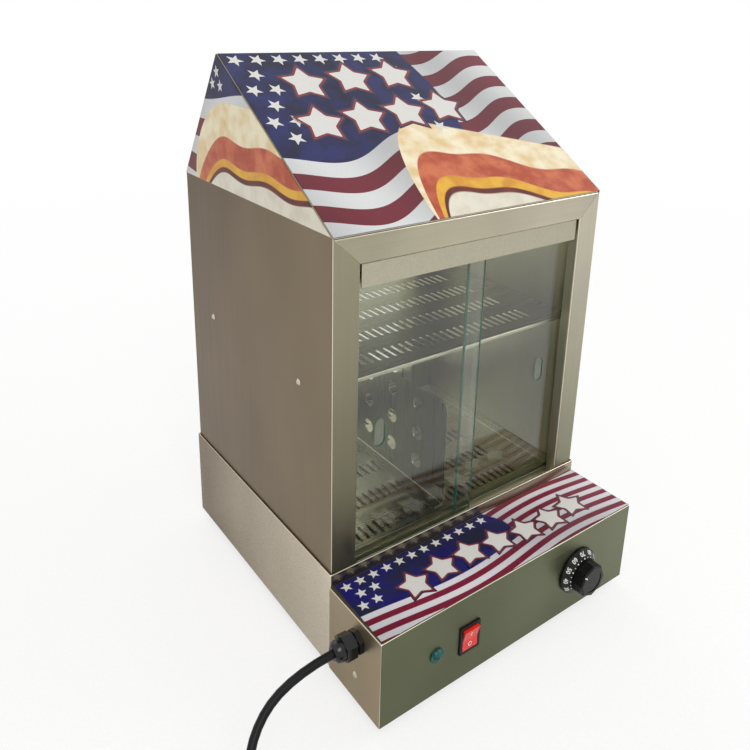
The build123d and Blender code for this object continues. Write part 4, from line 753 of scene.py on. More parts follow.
def add_star(shape: bmesh.types.BMesh, radius: float, fatness: float, place: Matrix, thickness: float) -> None:
    """Add a thin five-pointed star: a ring of ten corners with every second one drawn in.

    Args:
        shape: The bmesh it goes into.
        radius: Distance of its points from its middle.
        fatness: Inner radius as a share of the outer one.
        place: Its plane in the frame.
        thickness: How far it stands out.
    """
    corners = bmesh.ops.create_circle(shape, cap_ends=True, segments=10, radius=radius)["verts"]
    bmesh.ops.scale(shape, vec=(fatness, fatness, 1.0), verts=corners[1::2])
    raised(shape, corners, place, thickness)


def add_bar(shape: bmesh.types.BMesh, width: float, height: float, place: Matrix, thickness: float) -> None:
    """Add a thin rectangle.

    Args:
        shape: The bmesh it goes into.
        width: Size along its X.
        height: Size along its Y.
        place: Its plane in the frame.
        thickness: How far it stands out.
    """
    corners = bmesh.ops.create_grid(shape, x_segments=1, y_segments=1, size=0.5)["verts"]
    raised(shape, corners, place @ Matrix.Diagonal((width, height, 1.0, 1.0)), thickness)


def axes_matrix(origin: Vector, across: Vector, up: Vector) -> Matrix:
    """Place of a plane in the frame.

    Args:
        origin: Where its own origin goes.
        across: Direction of its X.
        up: Direction of its Y.

    Returns:
        The matrix, whose Z is across times up.
    """
    x = across.normalized()
    y = up.normalized()
    z = x.cross(y)
    turned = Matrix((x, y, z)).transposed().to_4x4()
    return Matrix.Translation(origin) @ turned


def dress(material: bpy.types.Material, *names: str) -> None:
    """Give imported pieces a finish.

    Args:
        material: The finish.
        names: The pieces' node names.
    """
    for name in names:
        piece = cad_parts[name]
        piece.data.materials.clear()
        piece.data.materials.append(material)
        LOG.info("%s: %s", name, material.name)


# ---------------------------------------------------------------- camera and studio
@dataclass
class Viewpoint:
    """Camera where the photograph was taken."""

    place: Vector = field(default_factory=lambda: Vector((-0.48420, -0.61240, 0.62102)))
    turn_deg: tuple[float, float, float] = (72.5966, -1.4941, -36.5716)
    lens_mm: float = 36.60
    shift_x: float = -0.0168
    shift_y: float = -0.1701

    def build(self) -> None:
        """Make the camera and use it."""
        data = bpy.data.cameras.new("camera")
        data.sensor_fit = "HORIZONTAL"
        data.sensor_width = 36.0
        data.lens = self.lens_mm
        data.shift_x = self.shift_x
        data.shift_y = self.shift_y
        data.clip_start = 0.02
        camera = bpy.data.objects.new("camera", data)
        camera.location = self.place
        camera.rotation_euler = Euler([math.radians(angle) for angle in self.turn_deg])
        bpy.context.scene.collection.objects.link(camera)
        bpy.context.scene.camera = camera
        LOG.info("camera")


@dataclass
class Studio:
    """Plain pale floor, white surroundings and soft lamps."""

    floor_size: float = 60.0
    floor_colour: str = "EDEDEB"
    floor_fleck: str = "F6F6F5"
    floor_drop: float = 0.0004  # below the feet, so that the two never share a plane
    floor_glow: float = 0.72  # share of plain white that the camera sees on the floor near the object
    fill: float = 0.72

    def build(self) -> None:
        """Make the floor, the world and the lamps."""
        self.build_floor()
        self.build_world()
        self.add_lamp("key", Vector((-0.9, -1.7, 2.3)), 1.3, 24.0)
        self.add_lamp("side", Vector((1.9, -0.9, 1.5)), 1.2, 12.0)
        self.add_lamp("back", Vector((0.3, 2.0, 1.9)), 1.6, 12.0)
        LOG.info("floor, world and lamps")

    def build_floor(self) -> None:
        """Make the floor, white to the camera except for the object's shadow."""
        shape = bmesh.new()
        bmesh.ops.create_grid(shape, x_segments=1, y_segments=1, size=self.floor_size / 2)
        bmesh.ops.translate(shape, verts=shape.verts, vec=(0.0, 0.0, -self.floor_drop))
        mesh = bpy.data.meshes.new("floor")
        shape.to_mesh(mesh)
        shape.free()
        material, tree = new_material("painted floor, matt white")
        grit = grains(tree, (300.0, 300.0, 300.0), 2.0)
        colour = add(
            tree,
            "Mix",
            {
                "data_type": "RGBA",
                0: add(tree, "MapRange", {0: grit, 1: 0.3, 2: 0.7}).outputs[0],
                6: linear(self.floor_colour),
                7: linear(self.floor_fleck),
            },
        ).outputs[2]
        matt = add(tree, "BsdfDiffuse", {"Color": colour}).outputs[0]
        glow = add(tree, "Emission", {"Color": (1.0, 1.0, 1.0, 1.0), "Strength": 1.0}).outputs[0]
        away = add(
            tree, "VectorMath", {"operation": "LENGTH", 0: add(tree, "TexCoord").outputs["Object"]}
        ).outputs["Value"]
        white = add(tree, "MapRange", {0: away, 1: 0.6, 2: 2.2, 3: self.floor_glow, 4: 1.0}).outputs[0]
        share = add(
            tree, "Math", {"operation": "MULTIPLY", 0: add(tree, "LightPath").outputs["Is Camera Ray"], 1: white}
        ).outputs[0]
        add(tree, "OutputMaterial", {"Surface": add(tree, "MixShader", {0: share, 1: matt, 2: glow}).outputs[0]})
        mesh.materials.append(material)
        floor = bpy.data.objects.new("floor", mesh)
        bpy.context.scene.collection.objects.link(floor)

    def build_world(self) -> None:
        """Make surroundings that look white and light the object softly."""
        world = bpy.data.worlds.new("studio")
        bpy.context.scene.world = world
        world.use_nodes = True
        tree = world.node_tree
        tree.nodes.clear()
        path = add(tree, "LightPath")
        direct = add(
            tree,
            "Math",
            {"operation": "MAXIMUM", 0: path.outputs["Is Camera Ray"], 1: path.outputs["Is Transmission Ray"]},
        ).outputs[0]
        seen = add(tree, "Math", {"operation": "MAXIMUM", 0: direct, 1: path.outputs["Is Glossy Ray"]}).outputs[0]
        soft = add(tree, "Background", {"Color": (1.0, 1.0, 1.0, 1.0), "Strength": self.fill}).outputs[0]
        white = add(tree, "Background", {"Color": (1.0, 1.0, 1.0, 1.0), "Strength": 1.0}).outputs[0]
        mixed = add(tree, "MixShader", {0: seen, 1: soft, 2: white}).outputs[0]
        add(tree, "OutputWorld", {"Surface": mixed})

    def add_lamp(self, name: str, place: Vector, size: float, watts: float) -> None:
        """Add a square soft lamp that faces the object.

        Args:
            name: The lamp's name.
            place: Where it stands.
            size: Length of its sides.
            watts: Its power.
        """
        data = bpy.data.lights.new(name, "AREA")
        data.size = size
        data.energy = watts
        lamp = bpy.data.objects.new(name, data)
        lamp.location = place
        aim = Vector((0.0, 0.0, 0.25)) - place
        lamp.rotation_euler = aim.to_track_quat("-Z", "Y").to_euler()
        bpy.context.scene.collection.objects.link(lamp)


# ---------------------------------------------------------------- mains lead
@dataclass
class MainsLead:
    """Rubber sheathed cord from the gland to its coil and plug."""

    radius_mm: float = 3.9
    pitch_mm: float = 8.3
    outer_mm: float = 59.0
    low_turns: float = 2.5
    climb_turns: float = 0.5
    spread_turns: float = 0.5
    high_turns: float = 1.5
    exit_swing_mm: float = 7.0  # how far the last stretch swings out, towards the plug
    exit_swing_turns: float = 0.35
    start_mm: tuple[float, float] = (-300.0, -170.0)
    gland_mm: tuple[float, float, float] = (-197.0, -49.4, 83.0)
    length: float = 1.748
    points_per_turn: int = 16

    @property
    def climb_end(self) -> float:
        """Turns up to the top of the climb."""
        return self.low_turns + self.climb_turns

    @property
    def spread_end(self) -> float:
        """Turns up to where the upper layer winds outward."""
        return self.climb_end + self.spread_turns

    @property
    def turns(self) -> float:
        """Turns of the whole coil."""
        return self.spread_end + self.high_turns

    def free_route(self) -> list[tuple[float, float, float]]:
        """Points from the gland to where the coil starts, in millimetres."""
        x, y = self.start_mm
        rest = self.radius_mm + 0.3
        gx, gy, gz = self.gland_mm
        return [
            (gx, gy, gz),
            (-240.0, gy, gz),
            (-282.0, -61.0, 63.0),
            (-303.0, -92.0, 30.0),
            (x, y + 38.0, rest),
            (x, y, rest),
        ]

    @staticmethod
    def ease(share: float) -> float:
        """Rise from 0 to 1 with level ends."""
        share = min(max(share, 0.0), 1.0)
        return share * share * (3 - 2 * share)

    def coil_point(self, turn: float) -> tuple[float, float, float]:
        """Middle of the cord after a number of turns, in millimetres.

        Args:
            turn: Turns from the coil's start.

        Returns:
            X, Y and Z.
        """
        radius = self.outer_mm - self.pitch_mm * min(turn, self.climb_end)
        if turn > self.climb_end:
            spread = self.ease((turn - self.climb_end) / self.spread_turns)
            radius += self.pitch_mm * (self.climb_turns + 1) * spread
        if turn > self.spread_end:
            radius += self.pitch_mm * (turn - self.spread_end)
        left = (turn - self.turns + self.exit_swing_turns) / self.exit_swing_turns
        radius += self.exit_swing_mm * self.ease(left)
        height = self.radius_mm + 0.3 + self.pitch_mm * self.ease((turn - self.low_turns) / self.climb_turns)
        angle = math.pi + 2 * math.pi * turn
        middle_x = self.start_mm[0] + self.outer_mm
        middle_y = self.start_mm[1] - 2 * self.radius_mm
        return (middle_x + radius * math.cos(angle), middle_y + radius * math.sin(angle), height)

    def build(self) -> None:
        steps = int(self.turns * self.points_per_turn)
        route = self.free_route()
        route += [self.coil_point(step / self.points_per_turn) for step in range(steps + 1)]
        x, y, z = route[-1]
        route.append((x, y - 2 * self.radius_mm, z))
        data = bpy.data.curves.new("mains_cord", "CURVE")
        data.dimensions = "3D"
        data.bevel_depth = self.radius_mm * MM
        data.bevel_resolution = 3
        data.use_fill_caps = True
        data.resolution_u = 5
        spline = data.splines.new("NURBS")
        spline.points.add(len(route) - 1)
        for point, (x, y, z) in zip(spline.points, route):
            point.co = (*at(x, y, z), 1.0)
        spline.order_u = 3
        spline.use_endpoint_u = True
        spline.resolution_u = 5
        cord = bpy.data.objects.new("mains_cord", data)
        bpy.context.scene.collection.objects.link(cord)
        data.materials.append(MouldedPlastic("rubber, extruded, black", "0E0F11", 0.42, 1.2, 0.1).build())
        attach(cord, "cabinet")
        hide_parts("power_cord", "cord_coil")
        dress(MouldedPlastic("rubber, moulded, black", "101113", 0.4, 1.0, 0.1).build(), "plug_body")
        dress(PlainMetal("brass, stamped, nickel plated", "C9BFA2", 0.22).build(), "plug_pins")
        LOG.info("mains lead, %d points", len(route))


# ---------------------------------------------------------------- sheet metal
@dataclass
class SheetMetal:
    """The folded stainless steel of tower, base, control box and cabin."""

    def build(self) -> None:
        """Give each sheet its brushed finish, whose tones by facing and place are painted reflections."""
        # The two walls are one steel: their front tones differ only as painted reflection, lighter on the right and
        # darker towards the bottom.
        left = BrushedStainless(
            "stainless steel, brushed upright, left",
            ("6D6C58", "9B957E"),
            ("70604D", "84755F"),
            "8A8474",
            reflection_fade=PaintedReflectionFade.UP,
            grain=Grain.ALONG_Z,
        )
        dress(left.build(), "left_wall")
        right = BrushedStainless(
            "stainless steel, brushed upright, right",
            ("7F7F6A", "CCC5B2"),
            ("70604D", "84755F"),
            "8A8474",
            reflection_fade=PaintedReflectionFade.UP,
            grain=Grain.ALONG_Z,
        )
        dress(right.build(), "right_wall")
        rails = BrushedStainless(
            "stainless steel, brushed across", ("A8A38C", "C2BAA8"), ("A2977F", "A2977F"), "9A937F"
        )
        dress(rails.build(), "front_rail", "rear_rail", "roof")
        # painted reflection: the base's sides grow much paler towards the front
        base = BrushedStainless(
            "stainless steel, brushed, base", ("8A8170", "A39A86"), ("786751", "DCD0BD"), "857B68", roughness=0.26
        )
        dress(base.build(), "base_housing", "front_sill", "rear_sill")
        # painted reflection: a darker, greener front than the control box's paler sides
        box = BrushedStainless(
            "stainless steel, brushed, control box",
            ("676C53", "73775F"),
            ("A4957B", "A4957B"),
            "6A6152",
            roughness=0.4,
        )
        dress(box.build(), "control_box")
        # painted light: pale tones that brighten the cabin's inner sheets
        inner = BrushedStainless(
            "stainless steel, rolled, inner", ("B0AF9E", "C2C0AE"), ("C4C1AC", "C4C1AC"), "A6A388", roughness=0.3
        )
        dress(inner.build(), "bun_shelf", "shelf_brackets", "ceiling", "pan_ledges", "base_floor", "box_floor")
        dress(inner.build(), "floor_plate", "water_pan")
        upright = BrushedStainless(
            "stainless steel, rolled, divider",
            ("9C9B84", "9C9B84"),
            ("82836A", "8E8F75"),
            "9C9B84",
            grain=Grain.ALONG_Z,
            roughness=0.3,
        )
        dress(upright.build(), "divider")
        tracks = PlainMetal("aluminium, extruded, clear anodised", "B4AF9B", 0.34)
        names = ("front_top_track", "front_bottom_track", "rear_top_track", "rear_bottom_track")
        dress(tracks.build(), *names)
        dress(PlainMetal("aluminium, rivet", "C9C4B4", 0.3).build(), "side_rivets")


# ---------------------------------------------------------------- doors
@dataclass
class Doors:
    """Four sliding panes with ground finger pulls."""

    pull_x_mm: float = 111.0
    pull_z_mm: float = 246.0
    pull_width_mm: float = 12.0
    pull_height_mm: float = 28.0
    pull_depth_mm: float = 1.4
    front_faces_mm: tuple[float, float] = (5.1, 13.3)  # outer faces of the left and the right pane
    rear_faces_mm: tuple[float, float] = (274.7, 282.9)
    edge_gap_mm: float = 0.1  # between the matt sheet and the pull's wall
    floor_gap_mm: float = 0.05  # between the matt sheet and the pull's floor
    sheet: float = 0.0001

    def build(self) -> None:
        """Give the panes their glass and lay the ground surface in each pull."""
        glass = FloatGlass("float glass, clear, ground edges").build()
        dress(glass, "front_left_glass", "front_right_glass", "rear_left_glass", "rear_right_glass")
        ground = GroundPull().build()
        places = (
            ("front_left", -self.pull_x_mm, self.front_faces_mm[0], -1),
            ("front_right", self.pull_x_mm, self.front_faces_mm[1], -1),
            ("rear_left", -self.pull_x_mm, self.rear_faces_mm[0], 1),
            ("rear_right", self.pull_x_mm, self.rear_faces_mm[1], 1),
        )
        for name, x, face_y, outward in places:
            self.build_pull(name, x, face_y, outward, ground)

    def build_pull(self, name: str, x: float, face_y: float, outward: int, ground: bpy.types.Material) -> None:
        """Lay a matt obround sheet on the floor of a finger pull.

        Args:
            name: Which pane it is on.
            x: Its middle, in millimetres.
            face_y: The pane's outer face, in millimetres.
            outward: -1 on a front pane, 1 on a rear one.
            ground: Its finish.
        """
        radius = (self.pull_width_mm / 2 - self.edge_gap_mm) * MM
        straight = (self.pull_height_mm - self.pull_width_mm) / 2 * MM
        floor_y = face_y - outward * (self.pull_depth_mm - self.floor_gap_mm)
        place = axes_matrix(at(x, floor_y, self.pull_z_mm), Vector((-outward, 0, 0)), Vector((0, 0, 1)))
        shape = bmesh.new()
        rim = bmesh.ops.create_circle(shape, cap_ends=True, segments=26, radius=radius)["verts"]
        bmesh.ops.translate(shape, verts=[corner for corner in rim if corner.co.y > 0], vec=(0.0, straight, 0.0))
        bmesh.ops.translate(shape, verts=[corner for corner in rim if corner.co.y < 0], vec=(0.0, -straight, 0.0))
        raised(shape, rim, place, self.sheet)
        finished(shape, name + "_pull", ground, name + "_door")
        LOG.info("%s pull", name)


# ---------------------------------------------------------------- printed panels
@dataclass
class PrintedPanels:
    """Flag cloth prints on the roof, the gables and the control box, with stars laid on them."""

    eave_z_mm: float = 443.5
    ridge_y_mm: float = 208.3
    ridge_z_mm: float = 576.1
    depth_mm: float = 298.0
    half_width_mm: float = 166.0
    proud_mm: float = 0.46
    gable_x_mm: float = 167.0
    gable_height: float = 0.1326
    box_corner_mm: tuple[float, float, float] = (-167.6, -82.4, 105.46)  # lower left of the control box print
    box_width: float = 0.3358
    box_depth: float = 0.0796
    star_lift: float = 0.00006
    plain_fatness: float = 0.42
    bold_fatness: float = 0.56
    bold_round: float = 0.0014  # radius of the large stars' corners
    white: bpy.types.Material = field(init=False)
    outline: bpy.types.Material = field(init=False)
    shadow: bpy.types.Material = field(init=False)

    def __post_init__(self) -> None:
        """Make the inks of the stars."""
        self.white = PrintedInk("vinyl ink, white", "D2D0CB").build()
        self.outline = PrintedInk("vinyl ink, dark red", "7A2430").build()
        self.shadow = PrintedInk("vinyl ink, blue black", "1B1D38").build()

    def build(self) -> None:
        """Make every print and its stars."""
        self.build_front_slope()
        self.build_rear_slope()
        self.build_gables()
        self.build_box_top()

    def slope_axes(self, front: bool) -> tuple[Vector, Vector, Vector, float]:
        """Lower left corner, directions and length of a roof slope.

        Args:
            front: True for the front slope.

        Returns:
            Corner, direction to the right as seen from outside, direction up the slope and slope length.
        """
        eave_y = 0.0 if front else self.depth_mm
        ridge = Vector((0.0, self.ridge_y_mm - eave_y, self.ridge_z_mm - self.eave_z_mm)) * MM
        side = 1 if front else -1
        across = Vector((side, 0.0, 0.0))
        corner = at(-side * self.half_width_mm, eave_y, self.eave_z_mm)
        out = across.cross(ridge.normalized())
        return corner + out * self.proud_mm * MM, across, ridge.normalized(), ridge.length

    def stars(
        self, name: str, corner: Vector, across: Vector, up: Vector, spots: list, body: str = "cabinet"
    ) -> None:
        """Lay plain white stars on a panel.

        Args:
            name: The piece's name.
            corner: The panel's lower left corner.
            across: The panel's direction to the right.
            up: The panel's direction up.
            spots: For each star its place along and up the panel, its radius and its turn, in millimetres
                and degrees.
            body: The body it rides on.
        """
        shape = bmesh.new()
        for x, y, radius, turn in spots:
            origin = corner + across * x * MM + up * y * MM
            place = axes_matrix(origin, across, up) @ Matrix.Rotation(math.radians(turn), 4, "Z")
            add_star(shape, radius * MM, self.plain_fatness, place, self.star_lift)
        finished(shape, name, self.white, body)
        LOG.info("%s, %d stars", name, len(spots))

    def bold_stars(self, name: str, corner: Vector, across: Vector, up: Vector, spots: list) -> None:
        """Lay large stars with a red outline and a dark edge on a panel.

        Args:
            name: Start of the pieces' names.
            corner: The panel's lower left corner.
            across: The panel's direction to the right.
            up: The panel's direction up.
            spots: For each star its place along and up the panel, its radius and its turn.
        """
        layers = (("edge", self.shadow, 1.36, 1), ("rim", self.outline, 1.2, 2), ("face", self.white, 1.0, 3))
        for label, ink, grow, level in layers:
            shape = bmesh.new()
            for x, y, radius, turn in spots:
                origin = corner + across * x * MM + up * y * MM
                place = axes_matrix(origin, across, up) @ Matrix.Rotation(math.radians(turn), 4, "Z")
                add_star(shape, radius * grow * MM, self.bold_fatness, place, self.star_lift * level)
            corners = [edge for edge in shape.edges if abs(edge.calc_length() - self.star_lift * level) < 1e-7]
            bmesh.ops.bevel(
                shape,
                geom=corners,
                offset=self.bold_round,
                offset_type="OFFSET",
                segments=3,
                profile=0.5,
                affect="EDGES",
                material=-1,
            )
            finished(shape, f"{name}_{label}", ink, "cabinet")
        LOG.info("%s, %d large stars", name, len(spots))

    def build_front_slope(self) -> None:
        """Print of the front slope."""
        corner, across, up, length = self.slope_axes(True)
        print_ = PrintedVinyl(
            "vinyl, printed, front slope",
            tuple(across),
            tuple(up),
            corner,
            2 * self.half_width_mm * MM,
            length,
            band=0.0195,
            swing=0.012,
            swings=2.0,
            tilt=0.12,
            field_right=0.66,
            waves=WarmWaves(0.33, 0.52, 0.52, 0.50, (0.17, 0.31, 0.37, 0.40)),
            phase=-0.78,
        )
        dress(print_.build(), "roof_front_print")
        small = []
        for row in range(1, 7):
            for column in range(9):
                x = 13 + column * 24 + (12 if row % 2 else 0)
                y = 88 + row * 23
                if x < 205 and y < 238 and not (40 < x < 190 and 108 < y < 224):
                    small.append((x, y + 8, 9.2, 12 + 5 * row))
        self.stars("front_slope_stars", corner, across, up, small)
        bold = [(72, 196, 24, -6), (128, 200, 24, -6), (184, 204, 24, -6)]
        bold += [(60, 136, 24, -6), (112, 140, 24, -6), (164, 144, 24, -6), (216, 148, 24, -6)]
        self.bold_stars("front_slope_badge", corner, across, up, bold)

    def build_rear_slope(self) -> None:
        """Print of the rear slope."""
        corner, across, up, length = self.slope_axes(False)
        print_ = PrintedVinyl(
            "vinyl, printed, rear slope",
            tuple(across),
            tuple(up),
            corner,
            2 * self.half_width_mm * MM,
            length,
            band=0.0115,
            swing=0.008,
            swings=1.3,
            field_right=0.45,
            phase=1.0,
        )
        dress(print_.build(), "roof_rear_print")
        spots = []
        for row in range(4):
            for column in range(6):
                x = 14 + column * 23 + (11 if row % 2 else 0)
                spots.append((x, 84 + row * 20, 7.5, 0))
        self.stars("rear_slope_stars", corner, across, up, [s for s in spots if s[1] < 152 and s[0] < 138])

    def build_gables(self) -> None:
        """Prints of both gables."""
        for name, side in (("left_gable_stars", -1), ("right_gable_stars", 1)):
            across = Vector((0.0, float(side), 0.0))
            start_y = self.depth_mm if side < 0 else 0.0
            corner = at(side * (self.gable_x_mm + self.proud_mm), start_y, self.eave_z_mm)
            spots = []
            for x, y, radius, turn in ((90, 115, 6.5, 8), (80, 103, 6.5, 10), (97, 102, 6.5, 5)):
                x = x if side < 0 else self.depth_mm - x
                spots.append((x, y, radius, turn))
            self.stars(name, corner, across, Vector((0, 0, 1)), spots)
        print_ = PrintedVinyl(
            "vinyl, printed, gables",
            (0.0, 1.0, 0.0),
            (0.0, 0.0, 1.0),
            at(0, 0, self.eave_z_mm),
            self.depth_mm * MM,
            self.gable_height,
            band=0.0205,
            swing=0.006,
            swings=1.4,
            tilt=0.0,
            field_right=2.0,
            waves=WarmWaves(0.90, 0.62, 0.66, 0.0, (0.26, 0.43, 0.49, 0.53)),
            phase=0.6,
        )
        dress(print_.build(), "gable_prints")

    def build_box_top(self) -> None:
        """Print on top of the control box."""
        corner = at(*self.box_corner_mm)
        across, up = Vector((1.0, 0.0, 0.0)), Vector((0.0, 1.0, 0.0))
        print_ = PrintedVinyl(
            "vinyl, printed, control box",
            tuple(across),
            tuple(up),
            corner,
            self.box_width,
            self.box_depth,
            navy="16105E",
            red="74122F",
            white="CFCCD0",
            band=0.0066,
            swing=0.006,
            swings=1.2,
            field_right=0.58,
            phase=-0.98,
        )
        dress(print_.build(), "control_box_print")
        spots = []
        for row in range(3):
            for column in range(14):
                x = 11 + column * 15.5 + (7 if row % 2 else 0)
                y = 44 + row * 14
                if x < 186 and (x < 36 or y > 68):
                    spots.append((x, y, 6.2, -14 + 6 * row))
        self.stars("box_top_stars", corner, across, up, spots)
        bold = [(66 + 36 * step, 38 + 4.5 * math.sin(step), 16.5, -4) for step in range(7)]
        self.bold_stars("box_top_badge", corner, across, up, bold)


# ---------------------------------------------------------------- controls
@dataclass
class Controls:
    """Dial knob, rocker switch and pilot lamp on the front panel."""

    panel_y_mm: float = -84.0
    knob_x_mm: float = 87.0
    knob_z_mm: float = 59.0
    knob_height_mm: float = 22.5
    skirt_low_mm: float = 26.0
    skirt_top_mm: float = 19.0
    switch_x_mm: float = -66.0
    switch_z_mm: float = 56.5
    rocker_slope: float = math.radians(7.0)
    rocker_face: float = 0.0038  # from the rocker's pivot to where its two slopes meet
    mark_reach: float = 0.0062  # from the rocker's middle to each mark
    line_size: tuple[float, float] = (0.0009, 0.0052)
    ring_size: tuple[float, float] = (0.0024, 0.0008)  # outer radius and width of its line
    pointer_reach: float = 0.0152  # from the knob's middle to the pointer's
    pointer_deg: float = -52.0
    pointer_size: tuple[float, float] = (0.0014, 0.0052)
    figure_share: float = 0.42  # place between the skirt's outer and inner edge
    figure_height: float = 0.0064
    dot_share: float = 0.93
    dot_sizes: tuple[float, float] = (0.0013, 0.0009)  # at a figure, and between two
    scale_start_deg: float = -120.0
    scale_step_deg: float = 30.0
    ink: bpy.types.Material = field(init=False)

    def __post_init__(self) -> None:
        """Make the ink of all marks."""
        self.ink = PrintedInk("enamel ink, white", "D9D9D2").build()

    def build(self) -> None:
        """Finish the controls and print the dial."""
        black = MouldedPlastic("phenolic, moulded, black", "0D0D0E", 0.24, 0.5, 0.03, gloss=0.25).build()
        dress(black, "thermostat_knob")
        dress(
            PlainMetal("steel, zinc plated", "B5B3AC", 0.3).build(),
            "knob_shaft",
            "thermostat",
            "thermostat_screws",
        )
        dress(
            MouldedPlastic("nylon, moulded, black", "120F0E", 0.3, 0.7, 0.05).build(), "switch_body", "lamp_clip"
        )
        dress(
            MouldedPlastic("polycarbonate, moulded, red", "D8251C", 0.2, 0.5, 0.02, gloss=0.5).build(),
            "switch_rocker",
        )
        dress(LampLens().build(), "lamp_lens")
        white = MouldedPlastic("nylon, moulded, cream", "CFCBBB", 0.4)
        dress(white.build(), "lamp_body", "terminal_block")
        self.build_pointer()
        self.build_scale()
        self.build_switch_marks()

    def knob_axes(self, angle: float) -> tuple[Vector, Vector]:
        """Directions outward and round the knob at an angle clockwise from the top, seen from the front."""
        outward = Vector((math.sin(angle), 0.0, math.cos(angle)))
        round_ = Vector((math.cos(angle), 0.0, -math.sin(angle)))
        return outward, round_

    def build_pointer(self) -> None:
        """White line on the knob's face."""
        face = at(self.knob_x_mm, self.panel_y_mm - self.knob_height_mm, self.knob_z_mm)
        outward, round_ = self.knob_axes(math.radians(self.pointer_deg))
        place = axes_matrix(face + outward * self.pointer_reach, round_, outward)
        shape = bmesh.new()
        add_bar(shape, *self.pointer_size, place, 0.00012)
        finished(shape, "knob_pointer", self.ink, "knob")
        LOG.info("knob pointer")

    def flank_place(self, angle: float, share: float) -> Matrix:
        """Place on the knob's flared skirt.

        Args:
            angle: Angle clockwise from the top, seen from the front.
            share: 0 at the skirt's outer edge, 1 at its inner one.

        Returns:
            Matrix whose Y points to the knob's middle and whose Z leaves the skirt.
        """
        outward, round_ = self.knob_axes(angle)
        low = Vector((self.skirt_low_mm, 2.4))
        high = Vector((self.skirt_top_mm, 9.5))
        radius, rise = low + (high - low) * share
        middle = at(self.knob_x_mm, self.panel_y_mm - rise, self.knob_z_mm)
        inward = -outward * (low.x - high.x) + Vector((0, -1, 0)) * (high.y - low.y)
        return axes_matrix(middle + outward * radius * MM, -round_, inward)

    def build_scale(self) -> None:
        """Numbers and dots round the skirt."""
        shape = bmesh.new()
        values = ("30", "40", "50", "60", "70", "80", "90")
        for index, value in enumerate(values):
            angle = math.radians(self.scale_start_deg + index * self.scale_step_deg)
            self.add_text(shape, value, self.flank_place(angle, self.figure_share), self.figure_height)
        for index in range(2 * len(values) - 1):
            angle = math.radians(self.scale_start_deg + index * self.scale_step_deg / 2)
            place = self.flank_place(angle, self.dot_share)
            size = self.dot_sizes[index % 2]
            add_bar(shape, size, size, place, 0.0001)
        finished(shape, "knob_scale", self.ink, "knob")
        LOG.info("knob scale")

    def add_text(self, shape: bmesh.types.BMesh, words: str, place: Matrix, size: float) -> None:
        """Add flat figures to a bmesh.

        Args:
            shape: The bmesh they go into.
            words: The figures.
            place: Moves them from their own plane into the frame.
            size: Their height.
        """
        data = bpy.data.curves.new("figures", "FONT")
        data.body = words
        data.size = size
        data.align_x = "CENTER"
        data.align_y = "CENTER"
        data.extrude = 0.00008
        data.offset = 0.00016
        data.resolution_u = 2
        carrier = bpy.data.objects.new("figures", data)
        bpy.context.scene.collection.objects.link(carrier)
        bpy.context.view_layer.update()
        mesh = bpy.data.meshes.new_from_object(carrier.evaluated_get(bpy.context.evaluated_depsgraph_get()))
        mesh.transform(place)
        shape.from_mesh(mesh)
        bpy.data.objects.remove(carrier)
        bpy.data.curves.remove(data)
        bpy.data.meshes.remove(mesh)

    def build_switch_marks(self) -> None:
        """Line and ring for on and off, on the rocker's two slopes."""
        pivot = Matrix.Translation(at(self.switch_x_mm, self.panel_y_mm + 2.0, self.switch_z_mm))
        at_rest = pivot @ Matrix.Rotation(self.rocker_slope, 4, "X")
        reach = self.mark_reach
        proud = self.rocker_face + reach * math.tan(self.rocker_slope) + 0.00003
        shape = bmesh.new()
        for side in (1, -1):
            up = Vector((0.0, -math.tan(self.rocker_slope) * side, 1.0))
            place = at_rest @ axes_matrix(Vector((0.0, -proud, reach * side)), Vector((1.0, 0.0, 0.0)), up)
            if side > 0:
                add_bar(shape, *self.line_size, place, 0.00008)
            else:
                self.add_ring(shape, place, *self.ring_size)
        finished(shape, "rocker_marks", self.ink, "rocker")
        LOG.info("rocker marks")

    @staticmethod
    def add_ring(shape: bmesh.types.BMesh, place: Matrix, radius: float, width: float) -> None:
        """Add a flat ring.

        Args:
            shape: The bmesh it goes into.
            place: Its plane, which it stands out from along Z.
            radius: Its outer radius.
            width: Width of its line.
        """
        near = shape.verts.new(place @ Vector((radius - width, 0, 0.00006)))
        far = shape.verts.new(place @ Vector((radius, 0, 0.00006)))
        line = shape.edges.new((near, far))
        bmesh.ops.spin(
            shape,
            geom=[near, far, line],
            cent=place.translation,
            axis=place.to_3x3() @ Vector((0, 0, 1)),
            angle=2 * math.pi,
            steps=28,
            use_merge=True,
        )


# ---------------------------------------------------------------- small parts
@dataclass
class SmallParts:
    """Gland, feet, fasteners and the water system."""

    def build(self) -> None:
        """Finish each of them."""
        gland = MouldedPlastic("nylon, moulded, gloss black", "0B0B0C", 0.14, 0.8, 0.02, gloss=0.4).build()
        dress(gland, "gland_body", "gland_nut", "gland_lock_nut")
        dress(MouldedPlastic("rubber, moulded, feet", "1A1A1A", 0.6, 1.0, 0.12).build(), "rubber_feet")
        dress(PlainMetal("steel, bright zinc plated", "BDBBB4", 0.28).build(), "foot_bolts", "foot_nuts")
        dress(
            PlainMetal("stainless tube, heat tinted", "8A7A66", 0.32, 3.0).build(),
            "heating_element",
            "thermostat_bulb",
        )
        dress(PlainMetal("brass, turned", "B08D4A", 0.26).build(), "heater_fittings", "drain_pipe", "drain_nuts")
        dress(PlainMetal("brass, nickel plated", "B9B5AA", 0.2).build(), "drain_valve", "drain_lever")


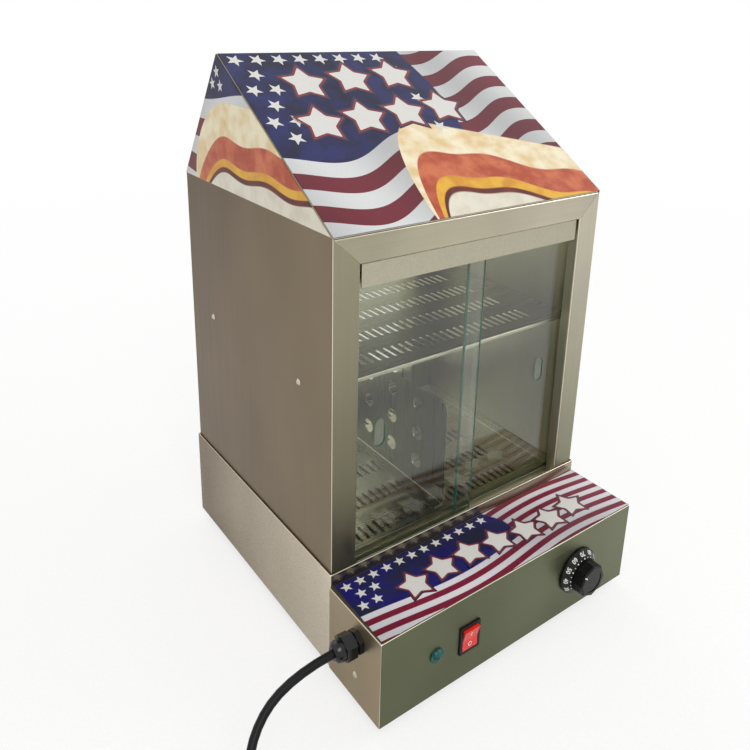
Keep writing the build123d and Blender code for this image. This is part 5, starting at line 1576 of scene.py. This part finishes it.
def main() -> None:
    """Build the camera and the lead first, then every sub-assembly, and report each piece."""
    logging.basicConfig(level=logging.INFO, format="%(message)s")
    bpy.context.scene.view_settings.view_transform = "Standard"
    Viewpoint().build()
    MainsLead().build()
    Studio().build()
    SheetMetal().build()
    Doors().build()
    PrintedPanels().build()
    Controls().build()
    SmallParts().build()


if __name__ == "__main__":
    main()
